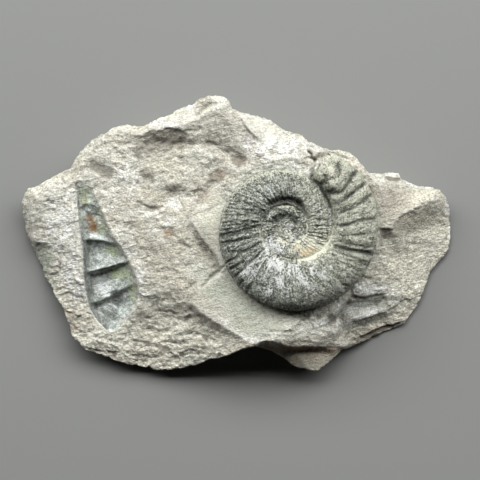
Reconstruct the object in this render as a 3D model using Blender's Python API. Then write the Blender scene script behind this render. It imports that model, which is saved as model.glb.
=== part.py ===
"""A hand-sized piece of pale grey marl with two fossils in its upper face.

rock      the broken piece of marl, one closed stone: a hackly upper face with smooth plates round the
          shell, the hollow mould of a tall snail shell on the left, a small hollow under a ledge on the
          right, bevelled north edges, an undercut south edge with a low spur, and a flat patch
          underneath that it rests on.
ammonite  the coiled, ribbed shell, standing proud of the rock in a pocket of its own outline.

Metres, +Z up. +X runs to the right along the stone and +Y to its far edge. The origin is on the ground,
under the centre of the stone's outline. Plan places are steps of a square plan grid, counted right and down
from its corner, and heights are millimetres above the ground.
"""

import math

import bmesh
import bpy
import numpy as np
from mathutils import Vector, noise
from mathutils.geometry import delaunay_2d_cdt

MM = 0.001

# Driving sizes
SHELL_ACROSS = 0.052  # the shell's greatest width, the size that all the others follow
SHELL_ACROSS_STEPS = 168.0
STEP = SHELL_ACROSS / SHELL_ACROSS_STEPS  # one step of the plan grid
PLAN_MIDDLE = (236.5, 233.5)  # the middle of the outline's extremes
FIT_GAP = 0.3  # millimetres between the shell and its pocket

# The ammonite
SHELL_CENTRE = (288.0, 228.0)
WHORL_DIVISIONS = 104  # two for each rib
MOUTH_ANGLE = 66.0  # degrees, anticlockwise from +X, where the last whorl is broken off
START_ANGLE = MOUTH_ANGLE - 360.0 * 3.25
RIB_HEIGHT = 0.9
SHELL_MIDDLE = 17.2
SHELL_FLOOR = 11.8
WHORL_RISE = 6.9  # half the last whorl's thickness at the radius below
WHORL_RISE_RADIUS = 90.0
CENTRE_LIFT = 1.5
SEAM_SHARE = 0.35  # height of a seam, as a share of the inner whorl's rise
# Places across a whorl, from its inner seam to its outer edge
WHORL_SHARES = (0.0, 0.1, 0.3, 0.54, 0.78, 0.93, 1.0)
# Degrees that a rib leans forward from its whorl's inner seam to its outer edge, by the angle round the shell
RIB_LEAN = ((0, 4), (30, 2), (66, -4), (95, 3), (120, 9), (150, 13), (180, 7), (230, 0), (300, 4), (360, 4))
INNER_LEAN = 6.0
# Height of the last whorl's edge where it meets the stone, against the angle round the shell
SHELL_FOOT = ((0, 16.4), (30, 16.6), (60, 15.6), (66, 19.4), (90, 20), (150, 19), (190, 18), (225, 17),
              (250, 16.8), (290, 16.4), (330, 14.8), (360, 16.4))  # fmt: skip
# Radius of the spiral's outer edge in plan steps, against its angle in degrees, with 360 to a turn
SPIRAL_EDGE = (
    (-1080, 6.2), (-900, 11.5), (-720, 19.0), (-660, 21.3), (-600, 24.0), (-540, 27.0), (-480, 29.3),
    (-450, 31.0), (-420, 34.5), (-390, 39.5), (-360, 44.0), (-330, 47.5), (-300, 53.0), (-270, 57.5),
    (-240, 62.0), (-210, 66.0), (-180, 69.0), (-150, 73.0), (-120, 78.0), (-90, 82.5), (-60, 85.5),
    (-30, 88.5), (0, 90.0), (30, 90.3), (50, 88.8), (66, 84.8), (90, 78.0),
)  # fmt: skip

# The stone's outline seen from above, clockwise from its left end, with the height of the edge there
RIM = (
    (21, 203, 5.6), (24, 194, 6.6), (28, 188, 7.6), (38, 185.5, 8.4), (47, 180, 9.2), (58, 174, 9.8),
    (68, 169, 10), (75, 160, 10.6), (80, 152, 10.8), (90, 141, 11.2), (100, 135, 12), (110, 129, 12.8),
    (120, 126, 13.4), (127, 124.5, 13.6), (136, 126, 13.8), (144, 126, 14.4), (152, 122, 14.5),
    (160, 118, 14.4), (170, 115, 14.4), (181, 107, 13.9), (192, 104, 14.8), (200, 99, 15.7),
    (210, 95.5, 16.7), (224, 97, 17.3), (229, 101, 17.2), (233, 109, 17.6), (240, 112.5, 17.2),
    (258, 116, 16.6), (270, 120, 16.1), (280, 128, 16.4), (291, 132, 17), (303, 136, 17.2),
    (308, 141, 17.6), (318, 146, 16.6), (329, 149.5, 14.5), (338, 149, 14.2), (350, 153, 14.2),
    (358, 159.5, 14.2), (363, 166, 14.2), (367, 172, 14), (375, 173, 13.4), (383, 174, 12.6),
    (386, 172.5, 12), (399, 173, 10.4), (401, 178, 10.6), (410, 183, 9.6), (420, 186, 8.6),
    (432, 187, 7.6), (441, 190, 6.7), (447, 198, 4.8), (451, 207, 3.2), (450, 218, 2), (452, 232, 1.6),
    (450, 248, 1.4), (445, 257, 1.4), (438, 263, 1.4), (432, 272, 1.4), (427, 284, 1.5), (424, 293, 1.5),
    (421, 302, 1.5), (413, 312, 1.5), (406, 323, 1.5), (395, 328, 1.5), (380, 334, 1.5), (365, 342, 1.8),
    (350, 348, 3.2), (341, 351, 5.8), (337, 355, 6.4), (328, 364, 6.6), (318, 371, 6.6),
    (311, 371.5, 6.8), (298, 368, 7.2), (290, 364, 7.6), (283, 357, 8.2), (272, 351.5, 8.6),
    (262, 348, 9.4), (257, 346.3, 15.2), (250, 347, 15.8), (240, 350, 14.6), (225, 357, 11.9),
    (210, 360, 8.9), (195, 366, 6.7), (180, 369, 5), (165, 371, 4), (155, 370.5, 3.6), (142, 367, 3.6),
    (130, 366, 4), (124, 363.5, 4.4), (116, 361, 4.6), (105, 357, 4.8), (95, 353, 5), (85, 350, 5),
    (80, 345, 5.2), (72, 337, 5.4), (69, 328, 5.5), (66, 318, 5.5), (63, 309, 5.4), (55, 297, 5.2),
    (50, 285, 4.2), (44, 277, 3), (40, 266, 2.2), (36, 257, 1.8), (32, 250, 1.8), (30, 243, 2.4),
    (26, 236, 2.8), (24, 226, 3.4), (22, 214, 4.4),
)  # fmt: skip

# The flat patch that the stone rests on, seen from above, clockwise from its left end
BASE = (
    (36, 218), (52, 190), (90, 164), (130, 142), (175, 132), (212, 120), (250, 133), (305, 152),
    (355, 176), (405, 194), (438, 218), (443, 236), (434, 260), (418, 286), (411, 304), (400, 318),
    (378, 328), (354, 340), (332, 355), (312, 365), (294, 358), (278, 338), (256, 322), (224, 330),
    (188, 354), (150, 361), (106, 348), (82, 330), (72, 306), (53, 276), (42, 250),
)  # fmt: skip

# Lines on the upper face where it bends, each a run of plan places with heights
FACE_LINES = {
    "northwest brow": ((32, 206, 8.6), (38, 200, 10.4), (50, 194, 11.4), (62, 189, 12), (72, 183, 12.6),
                       (79, 172, 12.8), (84, 160, 13), (90, 151, 13.2), (99, 142, 13.8), (109, 135, 14.8),
                       (120, 131.5, 15.4), (132, 132, 16), (141, 135, 16.2)),
    "scoop edge": ((141, 135, 16.2), (150, 131.5, 16.8), (160, 129, 17.4), (168, 127.5, 17.8),
                   (176, 128, 17.8), (183, 131.5, 17.4), (191, 138, 16.8)),
    "scoop foot": ((142, 141, 14.4), (152, 139, 13.6), (163, 137, 13.4), (174, 137, 13.6),
                   (183, 139, 14.4), (190, 143, 15.6)),
    "scoop rise": ((140, 152, 14.8), (155, 152, 14.3), (170, 151, 14.4), (182, 153, 15.2)),
    "peak brow": ((176, 128, 17.8), (186, 124, 17.8), (196, 120, 18.4), (206, 112.5, 19.1),
                  (216, 108, 19.9), (226, 107, 19.7), (234, 113, 19.6), (241, 117, 19.6),
                  (247, 127, 19.6), (253, 134, 19.6), (261, 140, 19.2)),
    "peak ledge": ((190, 110, 15.4), (201, 103.5, 16.6), (212, 99.5, 17.5), (222, 101, 18)),
    "peak gully": ((194, 117, 16.9), (203, 109.5, 16.4), (212, 105, 17.3)),
    "shell bank": ((261, 140, 19.2), (272, 141, 18.8), (286, 140.5, 18.6), (298, 143, 18.8), (309, 148, 19),
                   (320, 153, 18.6)),
    "shell collar": ((224, 196, 18.1), (235, 182, 18.8), (247, 171, 19.6), (262, 163, 20.2),
                     (280, 159, 20.6), (296, 159, 20.6), (308, 163, 19.9)),
    "corner above the shell": ((328, 153, 15), (338, 152.3, 15), (350, 156, 15), (359, 164, 15),
                               (365, 172, 14.8)),
    "brown hollow edge": ((229, 168, 18.8), (223, 182, 18.3), (214, 190, 18.2)),
    "brown hollow floor": ((217, 172, 16.9), (213, 181, 16.4), (205, 192, 15.9), (196, 204, 15.6)),
    "left plate edge": ((214, 190, 18.2), (204, 205, 17.5), (192, 221, 16.6), (201, 235, 16.5),
                        (211, 248, 16.5), (219.5, 260, 16.4)),
    "left plate foot": ((188, 222, 15.1), (198, 237, 15), (208, 250, 14.9), (216, 260, 14.8)),
    "notch floor": ((176, 250, 14.4), (196, 262, 14.6), (214, 267, 14.4)),
    "notch edge": ((186, 290, 14.2), (200, 282.5, 14.7), (212, 276, 15), (219, 270, 15.1)),
    "south plate edge": ((191, 298, 14.6), (193, 303, 14.7), (200, 311, 14.9), (211, 320, 15.3),
                         (226, 329, 15.9), (241, 338, 16.2), (253, 344, 16.4)),
    "south plate side": ((191, 298, 14.6), (203, 289, 15.6), (214, 280, 16.2), (222, 274, 16.4)),
    "south plate foot": ((184, 304, 12.6), (192, 310, 12.2), (199, 317, 11.9), (210, 325, 12.1),
                         (225, 334, 13.1), (239, 342, 14.8)),
    "south plate middle": ((215, 300, 16.2), (232, 312, 16.6), (252, 326, 16.6), (275, 333, 16.8)),
    "slab edge": ((259, 343, 16.2), (269, 340.5, 16.6), (280, 340, 16.6), (292, 338.5, 16.2),
                  (306, 336, 15.5), (320, 337, 14.2), (334, 342, 10), (343, 346.5, 7.6)),
    "spur root": ((264, 346.3, 9.8), (277, 349, 9.6), (293, 350.5, 9.5), (307, 350, 9.3),
                  (321, 350.5, 8.8), (333, 352, 7.6)),
    "south slope head": ((132, 322, 8.2), (143, 315, 9), (154, 309, 9.6), (166, 307, 10.4), (178, 311, 11)),
    "south slope step": ((140, 325, 7.4), (153, 317, 8.6), (166, 314, 9.4), (178, 319, 9.7),
                         (188, 324, 10.1)),
    "south slope": ((92, 342, 6), (110, 347, 6), (130, 350, 5.9), (155, 352, 5.8), (180, 350, 7.5),
                    (205, 345, 9.9), (228, 345, 13.4)),
    "southwest brow": ((74, 326, 6.2), (70, 310, 6.4), (60, 292, 6.2), (54, 280, 5.8)),
    "green hollow edge": ((54, 280, 5.8), (51, 264, 6.6), (48, 250, 7.2), (40, 243.5, 7), (34, 241, 6.2)),
    "green hollow floor": ((47, 276, 4.4), (43, 262, 4.2), (39, 251, 4.2)),
    "west brow": ((32, 206, 8.6), (31, 220, 7.6), (33, 232, 6.8), (34, 241, 6.2)),
    "east plate edge": ((381, 227.5, 16.6), (391, 227, 16.4), (402, 217, 15.8), (418, 208, 14.2),
                        (429, 201, 12), (440, 200, 8.6)),
    "east valley": ((383, 238, 13.8), (397, 238, 12.6), (412, 233, 10), (428, 228, 6.9), (442, 222, 3.9)),
    "east brow": ((384, 181, 15.8), (402, 184, 13.2), (420, 191, 11.6), (434, 193, 9.8), (440, 200, 8.6),
                  (445, 210, 5.1), (446, 230, 2.9), (441, 247, 2.9), (431, 259, 3.2), (423, 273, 3.4),
                  (418, 288, 3.4), (412, 300, 3)),
    "east chip": ((386, 175.5, 12.8), (398, 176, 12)),
    "ledge crest": ((360, 286, 12.6), (372, 283.5, 11), (386, 288.5, 8.8), (398, 294, 6), (408, 288, 4.8)),
    "ledge edge": ((351, 294.5, 12.2), (360, 293.5, 11.5), (368, 296, 10), (376, 293.5, 9.2), (385, 294, 8),
                   (389, 301, 6)),
    "ledge foot": ((352, 298.5, 9.8), (361, 298.5, 8), (369, 300, 6.4), (377, 298.5, 5.8), (383, 301, 5.4)),
    "hollow rim": ((340, 313, 9.8), (351, 320, 7), (366, 317.5, 5), (381, 312, 4.4), (391, 306.5, 4.2),
                   (400, 301, 4)),
    "southeast face": ((345, 331, 6.2), (362, 326, 4.1), (378, 320, 3.6), (394, 314, 3.2), (406, 306, 2.8)),
    "southeast edge": ((351, 343.3, 4.2), (362, 336.7, 3.1), (371, 332, 2.7), (378, 328, 2.6),
                       (388, 324.6, 2.4), (397, 323.4, 2.2)),
    "lumps": ((304, 317, 16.2), (316, 314.5, 16), (326, 317, 14.6), (334, 313, 14.2)),
    "south shelf": ((288, 329, 17), (305, 329, 16.2), (322, 329, 14.6), (336, 331, 11.9)),
}  # fmt: skip

# Single places on the upper face
FACE_PLACES = (
    (46, 222, 9.6), (60, 240, 10), (66, 270, 8.6), (74, 296, 7.6), (84, 325, 6.8), (66, 205, 12),
    (72, 222, 12.2), (74, 250, 11), (78, 280, 9.6), (100, 155, 14.2), (118, 145, 15.4), (98, 168, 13),
    (108, 175, 13.4), (116, 165, 14.8), (125, 190, 14.4), (146, 176, 14.4), (130, 215, 13.8),
    (160, 190, 15.2), (172, 194, 14.6), (185, 180, 16), (150, 205, 14.6), (165, 216, 14.8),
    (152, 228, 14.4), (145, 245, 13.6), (170, 232, 15), (160, 262, 13.4), (146, 275, 12.6),
    (148, 296, 11.2), (175, 285, 13.6), (172, 270, 13.6), (205, 155, 17.5), (211, 144, 16.9),
    (222, 135, 18.6), (236, 128, 19), (205, 128, 18.1), (240, 160, 17.8), (250, 150, 19),
    (275, 150, 19.6), (196, 172, 16.6), (122, 340, 6.4), (106, 333, 6.8), (165, 335, 7.8),
    (190, 338, 9.1), (215, 340, 11.3), (400, 200, 15.6), (388, 205, 16.6), (378, 185, 16.6),
    (396, 255, 9.8), (415, 252, 6.8), (410, 275, 5.6), (385, 270, 11), (430, 242, 5.3), (395, 283, 7.4),
    (362, 308, 6.6), (376, 306, 5.4), (346, 306, 9.8), (330, 325, 11.8), (300, 358, 8.9), (318, 360, 8.2),
    (212, 222, 17.5),
)  # fmt: skip

# The snail mould: its steep left wall, its right edge, and the lines between its whorls, from the top down
MOULD_LEFT = (
    (76, 178), (77, 200), (79, 220), (81, 238), (83, 255), (83, 272), (86, 296), (90, 310), (97, 321),
    (106, 330),
)  # fmt: skip
MOULD_RIGHT = (
    (86, 178), (91, 187), (97, 200), (103, 214), (108, 227), (113, 238), (121, 247), (129, 261), (134, 272),
    (138, 284), (139, 296), (136, 306), (128, 316), (119, 328), (114, 331),
)  # fmt: skip
MOULD_SEAMS = (
    ((74, 182), (84, 181), (94, 184)),
    ((77, 209), (85, 204), (92, 204), (98, 208), (105, 216)),
    ((79, 228), (92, 225), (110, 229)),
    ((80, 240), (90, 239), (103, 240), (120, 245)),
    ((82, 273), (95, 271), (105, 268), (115, 265), (130, 260.5)),
    ((85, 305), (100, 301), (110, 296), (118, 291), (128, 286), (140, 282)),
    ((88, 326), (104, 331), (114, 332), (124, 331), (140, 322)),
)
MOULD_DEPTH = 0.4  # the mould's depth as a share of its width
MOULD_RIDGE = (0.3, 0.55, 0.3, 0.55, 0.6, 0.6, 0.2)  # how much of the depth each seam's ridge takes back
MOULD_WALL = 0.14  # share of the width taken by the steep left wall

# Smooth plates, where the broken face has no lumps
PLATES = (
    ((214, 190), (192, 221), (219, 260), (226, 225), (228, 200)),
    ((226, 268), (190, 297), (200, 311), (253, 344), (275, 335), (300, 318), (250, 300)),
    ((243, 114), (270, 121), (283, 130), (262, 139), (248, 127)),
    ((345, 302), (384, 300), (384, 308), (352, 318)),
)
LUMP_HEIGHT = 0.45
PLATE_LUMPS = 0.15
FILL_SPACING = 7.4  # plan steps between the points that fill the upper face
LINE_SPACING = 9.0
SIDE_ROWS = 5
SIDE_LUMPS = 1.6


def plan(x, y):
    """A plan grid place as metres from the origin."""
    return (x - PLAN_MIDDLE[0]) * STEP, (PLAN_MIDDLE[1] - y) * STEP


def lumps(x, y, z, size, seed):
    """Smooth noise from -1 to 1, its lumps about size plan steps across."""
    return noise.fractal(Vector((x / size + seed, y / size, z / size)), 0.6, 2.1, 3)


def densified(line, spacing, closed=False):
    """The line with points added so that none is further than spacing from the next."""
    ends = list(line) + ([line[0]] if closed else [])
    made = [np.array(ends[0], float)]
    for a, b in zip(ends[:-1], ends[1:]):
        a, b = np.array(a, float), np.array(b, float)
        pieces = max(1, round(np.hypot(*(b - a)[:2]) / spacing))
        made += [a + (b - a) * k / pieces for k in range(1, pieces + 1)]
    return made[:-1] if closed else made


def inside(polygon, points):
    """For each point, whether it is inside the polygon, by counting the sides that a ray crosses."""
    corners = np.array(polygon, float)[:, :2]
    after = np.roll(corners, -1, axis=0)
    x, y = points[:, 0:1], points[:, 1:2]
    spans = (corners[:, 1] > y) != (after[:, 1] > y)
    rise = np.where(after[:, 1] == corners[:, 1], 1e-9, after[:, 1] - corners[:, 1])
    crossing = corners[:, 0] + (y - corners[:, 1]) * (after[:, 0] - corners[:, 0]) / rise
    return ((spans & (x < crossing)).sum(axis=1) % 2).astype(bool)


def triangulated(points, edges):
    """Plan points joined into triangles, with the edges kept: (points, triangles)."""
    found = delaunay_2d_cdt([Vector(p[:2]) for p in points], edges, [], 0, 1e-4, True)
    corners = np.array([tuple(v) for v in found[0]])
    return corners, np.array([face for face in found[2] if len(face) == 3]), found[3]


class UpperFace:
    """The stone's upper face: flat facets between the face lines, lumps, and the snail mould cut into it."""

    def __init__(self):
        points, edges = [], []
        for line, closed in [(RIM, True)] + [(line, False) for line in FACE_LINES.values()]:
            first = len(points)
            points += line
            edges += [(first + k, first + k + 1) for k in range(len(line) - 1)]
            edges += [(len(points) - 1, first)] if closed else []
        points += FACE_PLACES
        corners, self.triangles, origins = triangulated(points, edges)
        if any(not origin for origin in origins):
            crossed = [tuple(corners[k].round(1)) for k, origin in enumerate(origins) if not origin]
            raise ValueError(f"face lines cross near {crossed}")
        self.corners = corners
        self.heights = np.array([points[origin[0]][2] for origin in origins], float)

    def facets(self, places):
        """The height of the flat facets at each place, by the shares of the triangle that it is in."""
        a, b, c = (self.corners[self.triangles[:, k]] for k in range(3))
        area = (b[:, 0] - a[:, 0]) * (c[:, 1] - a[:, 1]) - (b[:, 1] - a[:, 1]) * (c[:, 0] - a[:, 0])
        x, y = places[:, 0:1], places[:, 1:2]
        share_b = ((x - a[:, 0]) * (c[:, 1] - a[:, 1]) - (y - a[:, 1]) * (c[:, 0] - a[:, 0])) / area
        share_c = ((b[:, 0] - a[:, 0]) * (y - a[:, 1]) - (b[:, 1] - a[:, 1]) * (x - a[:, 0])) / area
        share_a = 1 - share_b - share_c
        best = np.minimum(np.minimum(share_a, share_b), share_c).argmax(axis=1)
        row = np.arange(len(places))
        corner_heights = self.heights[self.triangles[best]]
        shares = np.stack([share_a[row, best], share_b[row, best], share_c[row, best]], axis=1)
        return (corner_heights * shares).sum(axis=1)

    def at(self, places):
        """Heights in millimetres at the plan places."""
        places = np.asarray(places, float)[:, :2]
        heights = self.facets(places) - mould_depth(places)
        amount = np.full(len(places), LUMP_HEIGHT)
        for plate in PLATES:
            amount[inside(plate, places)] *= PLATE_LUMPS
        amount *= np.clip(edge_distance(places) / 12, 0, 1)
        amount *= np.where(in_mould(places), 0.3, 1)
        lumpy = np.array([lumps(x, y, 0, 16, 3.7) for x, y in places])
        return heights + amount * lumpy


def edge_distance(places):
    """Plan steps from each place to the nearest side of the outline."""
    a = np.array(RIM, float)[:, :2]
    b = np.roll(a, -1, axis=0)
    p = places[:, None, :]
    along = np.clip(((p - a) * (b - a)).sum(-1) / ((b - a) ** 2).sum(-1), 0, 1)
    return np.linalg.norm(a + along[..., None] * (b - a) - p, axis=-1).min(axis=1)


def line_x(line, y):
    """Where a line that runs down the plan has the given y."""
    line = np.array(line, float)
    return np.interp(y, line[:, 1], line[:, 0])


def line_y(line, x):
    """Where a line that runs across the plan has the given x."""
    line = np.array(line, float)
    return np.interp(x, line[:, 0], line[:, 1])


def mould_place(places):
    """For each place, its share across the snail mould, and its whorl with the share down it."""
    x, y = places[:, 0], places[:, 1]
    left, right = line_x(MOULD_LEFT, y), line_x(MOULD_RIGHT, y)
    across = (x - left) / np.maximum(right - left, 1e-3)
    seams = np.array([line_y(seam, x) for seam in MOULD_SEAMS])
    whorl = np.clip((y >= seams).sum(axis=0) - 1, 0, len(MOULD_SEAMS) - 2)
    column = np.arange(len(x))
    top, foot = seams[whorl, column], seams[whorl + 1, column]
    return across, whorl, (y - top) / (foot - top)


def in_mould(places):
    across, _, down = mould_place(places)
    return (across > 0) & (across < 1) & (down > 0) & (down < 1)


def mould_depth(places):
    """Depth of the mould in millimetres: a steep left wall, a long right slope, and a ridge at each seam."""
    across, whorl, down = mould_place(places)
    y = places[:, 1]
    width = (line_x(MOULD_RIGHT, y) - line_x(MOULD_LEFT, y)) * STEP / MM
    wall = np.clip(across / MOULD_WALL, 0, 1)
    slope = np.sqrt(np.clip(1 - ((across - MOULD_WALL) / (1 - MOULD_WALL)) ** 2, 0, 1))
    trough = np.where(across < MOULD_WALL, wall, slope)
    ridge = np.array(MOULD_RIDGE)
    crest = ridge[whorl] * np.clip(1 - down / 0.16, 0, 1) ** 1.5 + ridge[whorl + 1] * np.clip(down, 0, 1) ** 3
    ends = np.clip(np.minimum((y - 180) / 6, (334 - y) / 7), 0, 1)
    return np.where(in_mould(places), width * MOULD_DEPTH * trough * (1 - crest) * ends, 0)


def mould_lines():
    """Runs of places along each seam of the mould and along the middle of each whorl."""
    made = []
    for upper, lower in zip(MOULD_SEAMS[:-1], MOULD_SEAMS[1:]):
        for down in (0.03, 0.17, 0.62, 0.97):
            run = []
            for across in (0.02, MOULD_WALL, 0.4, 0.72, 0.97):
                x = 95.0
                for _ in range(12):
                    y = line_y(upper, x) * (1 - down) + line_y(lower, x) * down
                    x = line_x(MOULD_LEFT, y) * (1 - across) + line_x(MOULD_RIGHT, y) * across
                run.append((x, y))
            made.append(run)
    return made


def spiral_radius(angle):
    """Radius of the spiral's outer edge in plan steps, by a smooth curve through the measured radii."""
    known = np.array(SPIRAL_EDGE, float)
    k = int(np.clip(np.searchsorted(known[:, 0], angle) - 1, 1, len(known) - 3))
    times, values = known[k - 1 : k + 3, 0], np.log(known[k - 1 : k + 3, 1])
    total = 0.0
    share = (angle - times[1]) / (times[2] - times[1])
    slope_a = (values[2] - values[0]) / (times[2] - times[0]) * (times[2] - times[1])
    slope_b = (values[3] - values[1]) / (times[3] - times[1]) * (times[2] - times[1])
    s2, s3 = share * share, share**3
    total += (2 * s3 - 3 * s2 + 1) * values[1] + (s3 - 2 * s2 + share) * slope_a
    total += (3 * s2 - 2 * s3) * values[2] + (s3 - s2) * slope_b
    return math.exp(total)


def shell_plan(angle, radius):
    """A place on the plan grid at an angle in degrees and a radius round the shell's centre."""
    turn = math.radians(angle)
    return SHELL_CENTRE[0] + radius * math.cos(turn), SHELL_CENTRE[1] - radius * math.sin(turn)


def whorl_rise(radius):
    """The height of a whorl's top above its middle plane, and of that plane, in millimetres."""
    rise = WHORL_RISE * (radius / WHORL_RISE_RADIUS) ** 0.85
    return rise, SHELL_MIDDLE + CENTRE_LIFT * (1 - radius / WHORL_RISE_RADIUS)


def around(table, angle):
    """A value read from a table against the angle round the shell."""
    angles, values = zip(*table)
    return float(np.interp(angle % 360, angles, values))


def edge_height(angle):
    """The height of a whorl's outer edge: the seam that the next whorl covers, or the last whorl's foot."""
    rise, middle = whorl_rise(spiral_radius(angle))
    seam = middle + rise * SEAM_SHARE
    last = min(1.0, max(0.0, (angle - (MOUTH_ANGLE - 360)) / 10))
    return seam + (around(SHELL_FOOT, angle) - seam) * last


def leaned(angle, across):
    """The angle at which a rib that starts at this angle has got this share across its whorl."""
    turns = (angle - MOUTH_ANGLE) / 360 + across
    return angle + around(RIB_LEAN, angle) * max(turns, -1.0) + INNER_LEAN * min(turns + 1, 0.0)


def oval_reach(height):
    """The share of a whorl's half width at which its oval has this share of its rise."""
    return (1 - min(1.0, max(0.0, height)) ** (1 / 0.45)) ** (1 / 2.3)


def shell_vertex(step, across):
    """The point across the whorl that ends at this step: 0 is its inner seam and 1 its outer edge."""
    angle = START_ANGLE + 360.0 * step / WHORL_DIVISIONS
    outer, inner = spiral_radius(angle), spiral_radius(angle - 360)
    rise, middle = whorl_rise(outer)
    reach_in = oval_reach((edge_height(angle - 360) - middle) / rise)
    reach_out = oval_reach((edge_height(angle) - middle) / rise)
    share = reach_in + reach_out
    share = share * across - reach_in
    height = middle + rise * max(0.0, 1 - abs(share) ** 2.3) ** 0.45
    rib = RIB_HEIGHT * (outer / WHORL_RISE_RADIUS) ** 0.8 * (0.5 if step % 2 else -0.5)
    flank = math.sin(math.pi * (across * 0.84 + 0.08)) ** 0.5 if 0 < across < 1 else 0
    x, y = shell_plan(leaned(angle, across), inner + (outer - inner) * across)
    return x, y, height + rib * flank


def build_ammonite():
    """The sheet of whorls along the spiral, closed by a wall below its outer edge and a flat underside."""
    mesh = bmesh.new()
    steps = round(WHORL_DIVISIONS * (MOUTH_ANGLE - START_ANGLE) / 360)
    grid = []
    for step in range(steps + 1):
        row = []
        for across in WHORL_SHARES:
            if across == 0 and step >= WHORL_DIVISIONS:
                row.append(grid[step - WHORL_DIVISIONS][-1])
                continue
            x, y, z = shell_vertex(step, across)
            if across == 1:
                z = edge_height(START_ANGLE + 360.0 * step / WHORL_DIVISIONS)
            row.append(mesh.verts.new((*plan(x, y), z * MM)))
        grid.append(row)
    for near, far in zip(grid[:-1], grid[1:]):
        for j in range(len(WHORL_SHARES) - 1):
            mesh.faces.new((near[j], near[j + 1], far[j + 1], far[j]))
    rise, middle = whorl_rise(spiral_radius(START_ANGLE))
    centre = mesh.verts.new((*plan(*SHELL_CENTRE), (middle + rise) * MM))
    first = [row[0] for row in grid[: WHORL_DIVISIONS + 1]] + grid[0][-2:0:-1]
    for a, b in zip(first, first[1:] + first[:1]):
        mesh.faces.new((a, b, centre))
    outline = [row[-1] for row in grid[-WHORL_DIVISIONS - 1 :]] + grid[-1][-2:0:-1]
    floor = [mesh.verts.new((v.co.x, v.co.y, SHELL_FLOOR * MM)) for v in outline]
    for k in range(len(outline)):
        after = (k + 1) % len(outline)
        mesh.faces.new((outline[k], floor[k], floor[after], outline[after]))
    mesh.faces.new(floor)
    return finished("ammonite", mesh)


def pocket_outline():
    """The shell's outline with the fit gap added, anticlockwise from the mouth's inner end."""
    outline = []
    for k in range(0, WHORL_DIVISIONS, 2):
        angle = MOUTH_ANGLE - 360 + 360 * k / WHORL_DIVISIONS
        outline.append(shell_plan(leaned(angle, 1), spiral_radius(angle)))
    inner, outer = spiral_radius(MOUTH_ANGLE - 360), spiral_radius(MOUTH_ANGLE)
    for across in (1.0, 0.5):
        outline.append(shell_plan(leaned(MOUTH_ANGLE, across), inner + (outer - inner) * across))
    return offset(np.array(outline), (FIT_GAP + 0.06) * MM / STEP)


def offset(outline, gap):
    """The closed outline moved outward by the gap, its corners mitred."""
    before, after = np.roll(outline, 1, axis=0), np.roll(outline, -1, axis=0)
    sides = (outline - before, after - outline)
    turn_in, turn_out = (side / np.linalg.norm(side, axis=1)[:, None] for side in sides)
    out_in, out_out = (np.stack([-side[:, 1], side[:, 0]], axis=1) for side in (turn_in, turn_out))
    both = out_in + out_out
    return outline + both * gap * 2 / np.maximum((both**2).sum(axis=1), 0.8)[:, None]


def build_rock(face):
    """The stone: the upper face, a pocket for the shell, sides that draw in, and a flat underside."""
    pocket = [(x, y, 0) for x, y in pocket_outline()]
    runs = [(densified(RIM, LINE_SPACING, closed=True), True), (pocket, True)]
    runs += [(densified(line, LINE_SPACING), False) for line in FACE_LINES.values()]
    runs += [(line, False) for line in mould_lines()]
    points, edges = [], []
    for run, closed in runs:
        keep = np.array([p[:2] for p in run], float)
        if len(points) > len(runs[0][0]) + len(pocket):
            free = ~inside(pocket, keep) & (nearest(keep, np.array(pocket, float)[:, :2]) > 2.5)
        else:
            free = np.ones(len(keep), bool)
        first = len(points)
        points += [tuple(p) for p in keep]
        edges += [(first + k, first + k + 1) for k in range(len(keep) - 1) if free[k] and free[k + 1]]
        edges += [(len(points) - 1, first)] if closed else []
    taken = np.array(points)
    fill = []
    row_gap = FILL_SPACING * math.sqrt(0.75)
    for j in range(int(290 / row_gap)):
        for k in range(int(440 / FILL_SPACING)):
            x = 15 + (k + 0.5 * (j % 2)) * FILL_SPACING + 1.6 * lumps(j * 9.1, k * 7.3, 0, 1.0, 11)
            y = 90 + j * row_gap + 1.6 * lumps(j * 5.3, k * 8.7, 4, 1.0, 27)
            fill.append((x, y))
    fill = np.array(fill)
    free = inside(RIM, fill) & ~inside(pocket, fill) & (nearest(fill, taken) > 0.6 * FILL_SPACING)
    points += [tuple(p) for p in fill[free]]
    corners, triangles, _ = triangulated(points, edges)
    middles = corners[triangles].mean(axis=1)
    triangles = triangles[inside(RIM, middles) & ~inside(pocket, middles)]
    heights = face.at(corners)
    mesh = bmesh.new()
    made = {}
    for k in sorted(set(triangles.ravel())):
        made[k] = mesh.verts.new((*plan(*corners[k]), heights[k] * MM))
    for triangle in triangles:
        mesh.faces.new([made[k] for k in triangle[::-1]])
    mesh.faces.ensure_lookup_table()
    add_pocket(mesh)
    add_sides(mesh)
    return finished("rock", mesh)


def nearest(places, others):
    """Plan steps from each place to the nearest of the others."""
    return np.sqrt(((places[:, None, :] - others[None, :, :]) ** 2).sum(-1)).min(axis=1)


def boundary_loops(mesh):
    """The open edges of the mesh, as rings of vertices."""
    after = {}
    for edge in mesh.edges:
        if edge.is_boundary:
            loop = edge.link_loops[0]
            after[loop.vert] = loop.link_loop_next.vert
    rings = []
    while after:
        start, ring = next(iter(after)), []
        vertex = start
        while vertex in after:
            ring.append(vertex)
            vertex = after.pop(vertex)
        rings.append(ring)
    return rings


def add_pocket(mesh):
    """Walls down from the pocket's outline, and its floor."""
    rings = sorted(boundary_loops(mesh), key=lambda ring: sum((v.co - ring[0].co).length for v in ring))
    for ring in rings[:-1]:
        floor = [mesh.verts.new((v.co.x, v.co.y, (SHELL_FLOOR - FIT_GAP) * MM)) for v in ring]
        for k in range(len(ring)):
            after = (k + 1) % len(ring)
            mesh.faces.new((ring[after], ring[k], floor[k], floor[after]))
        mesh.faces.new(floor)


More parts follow.
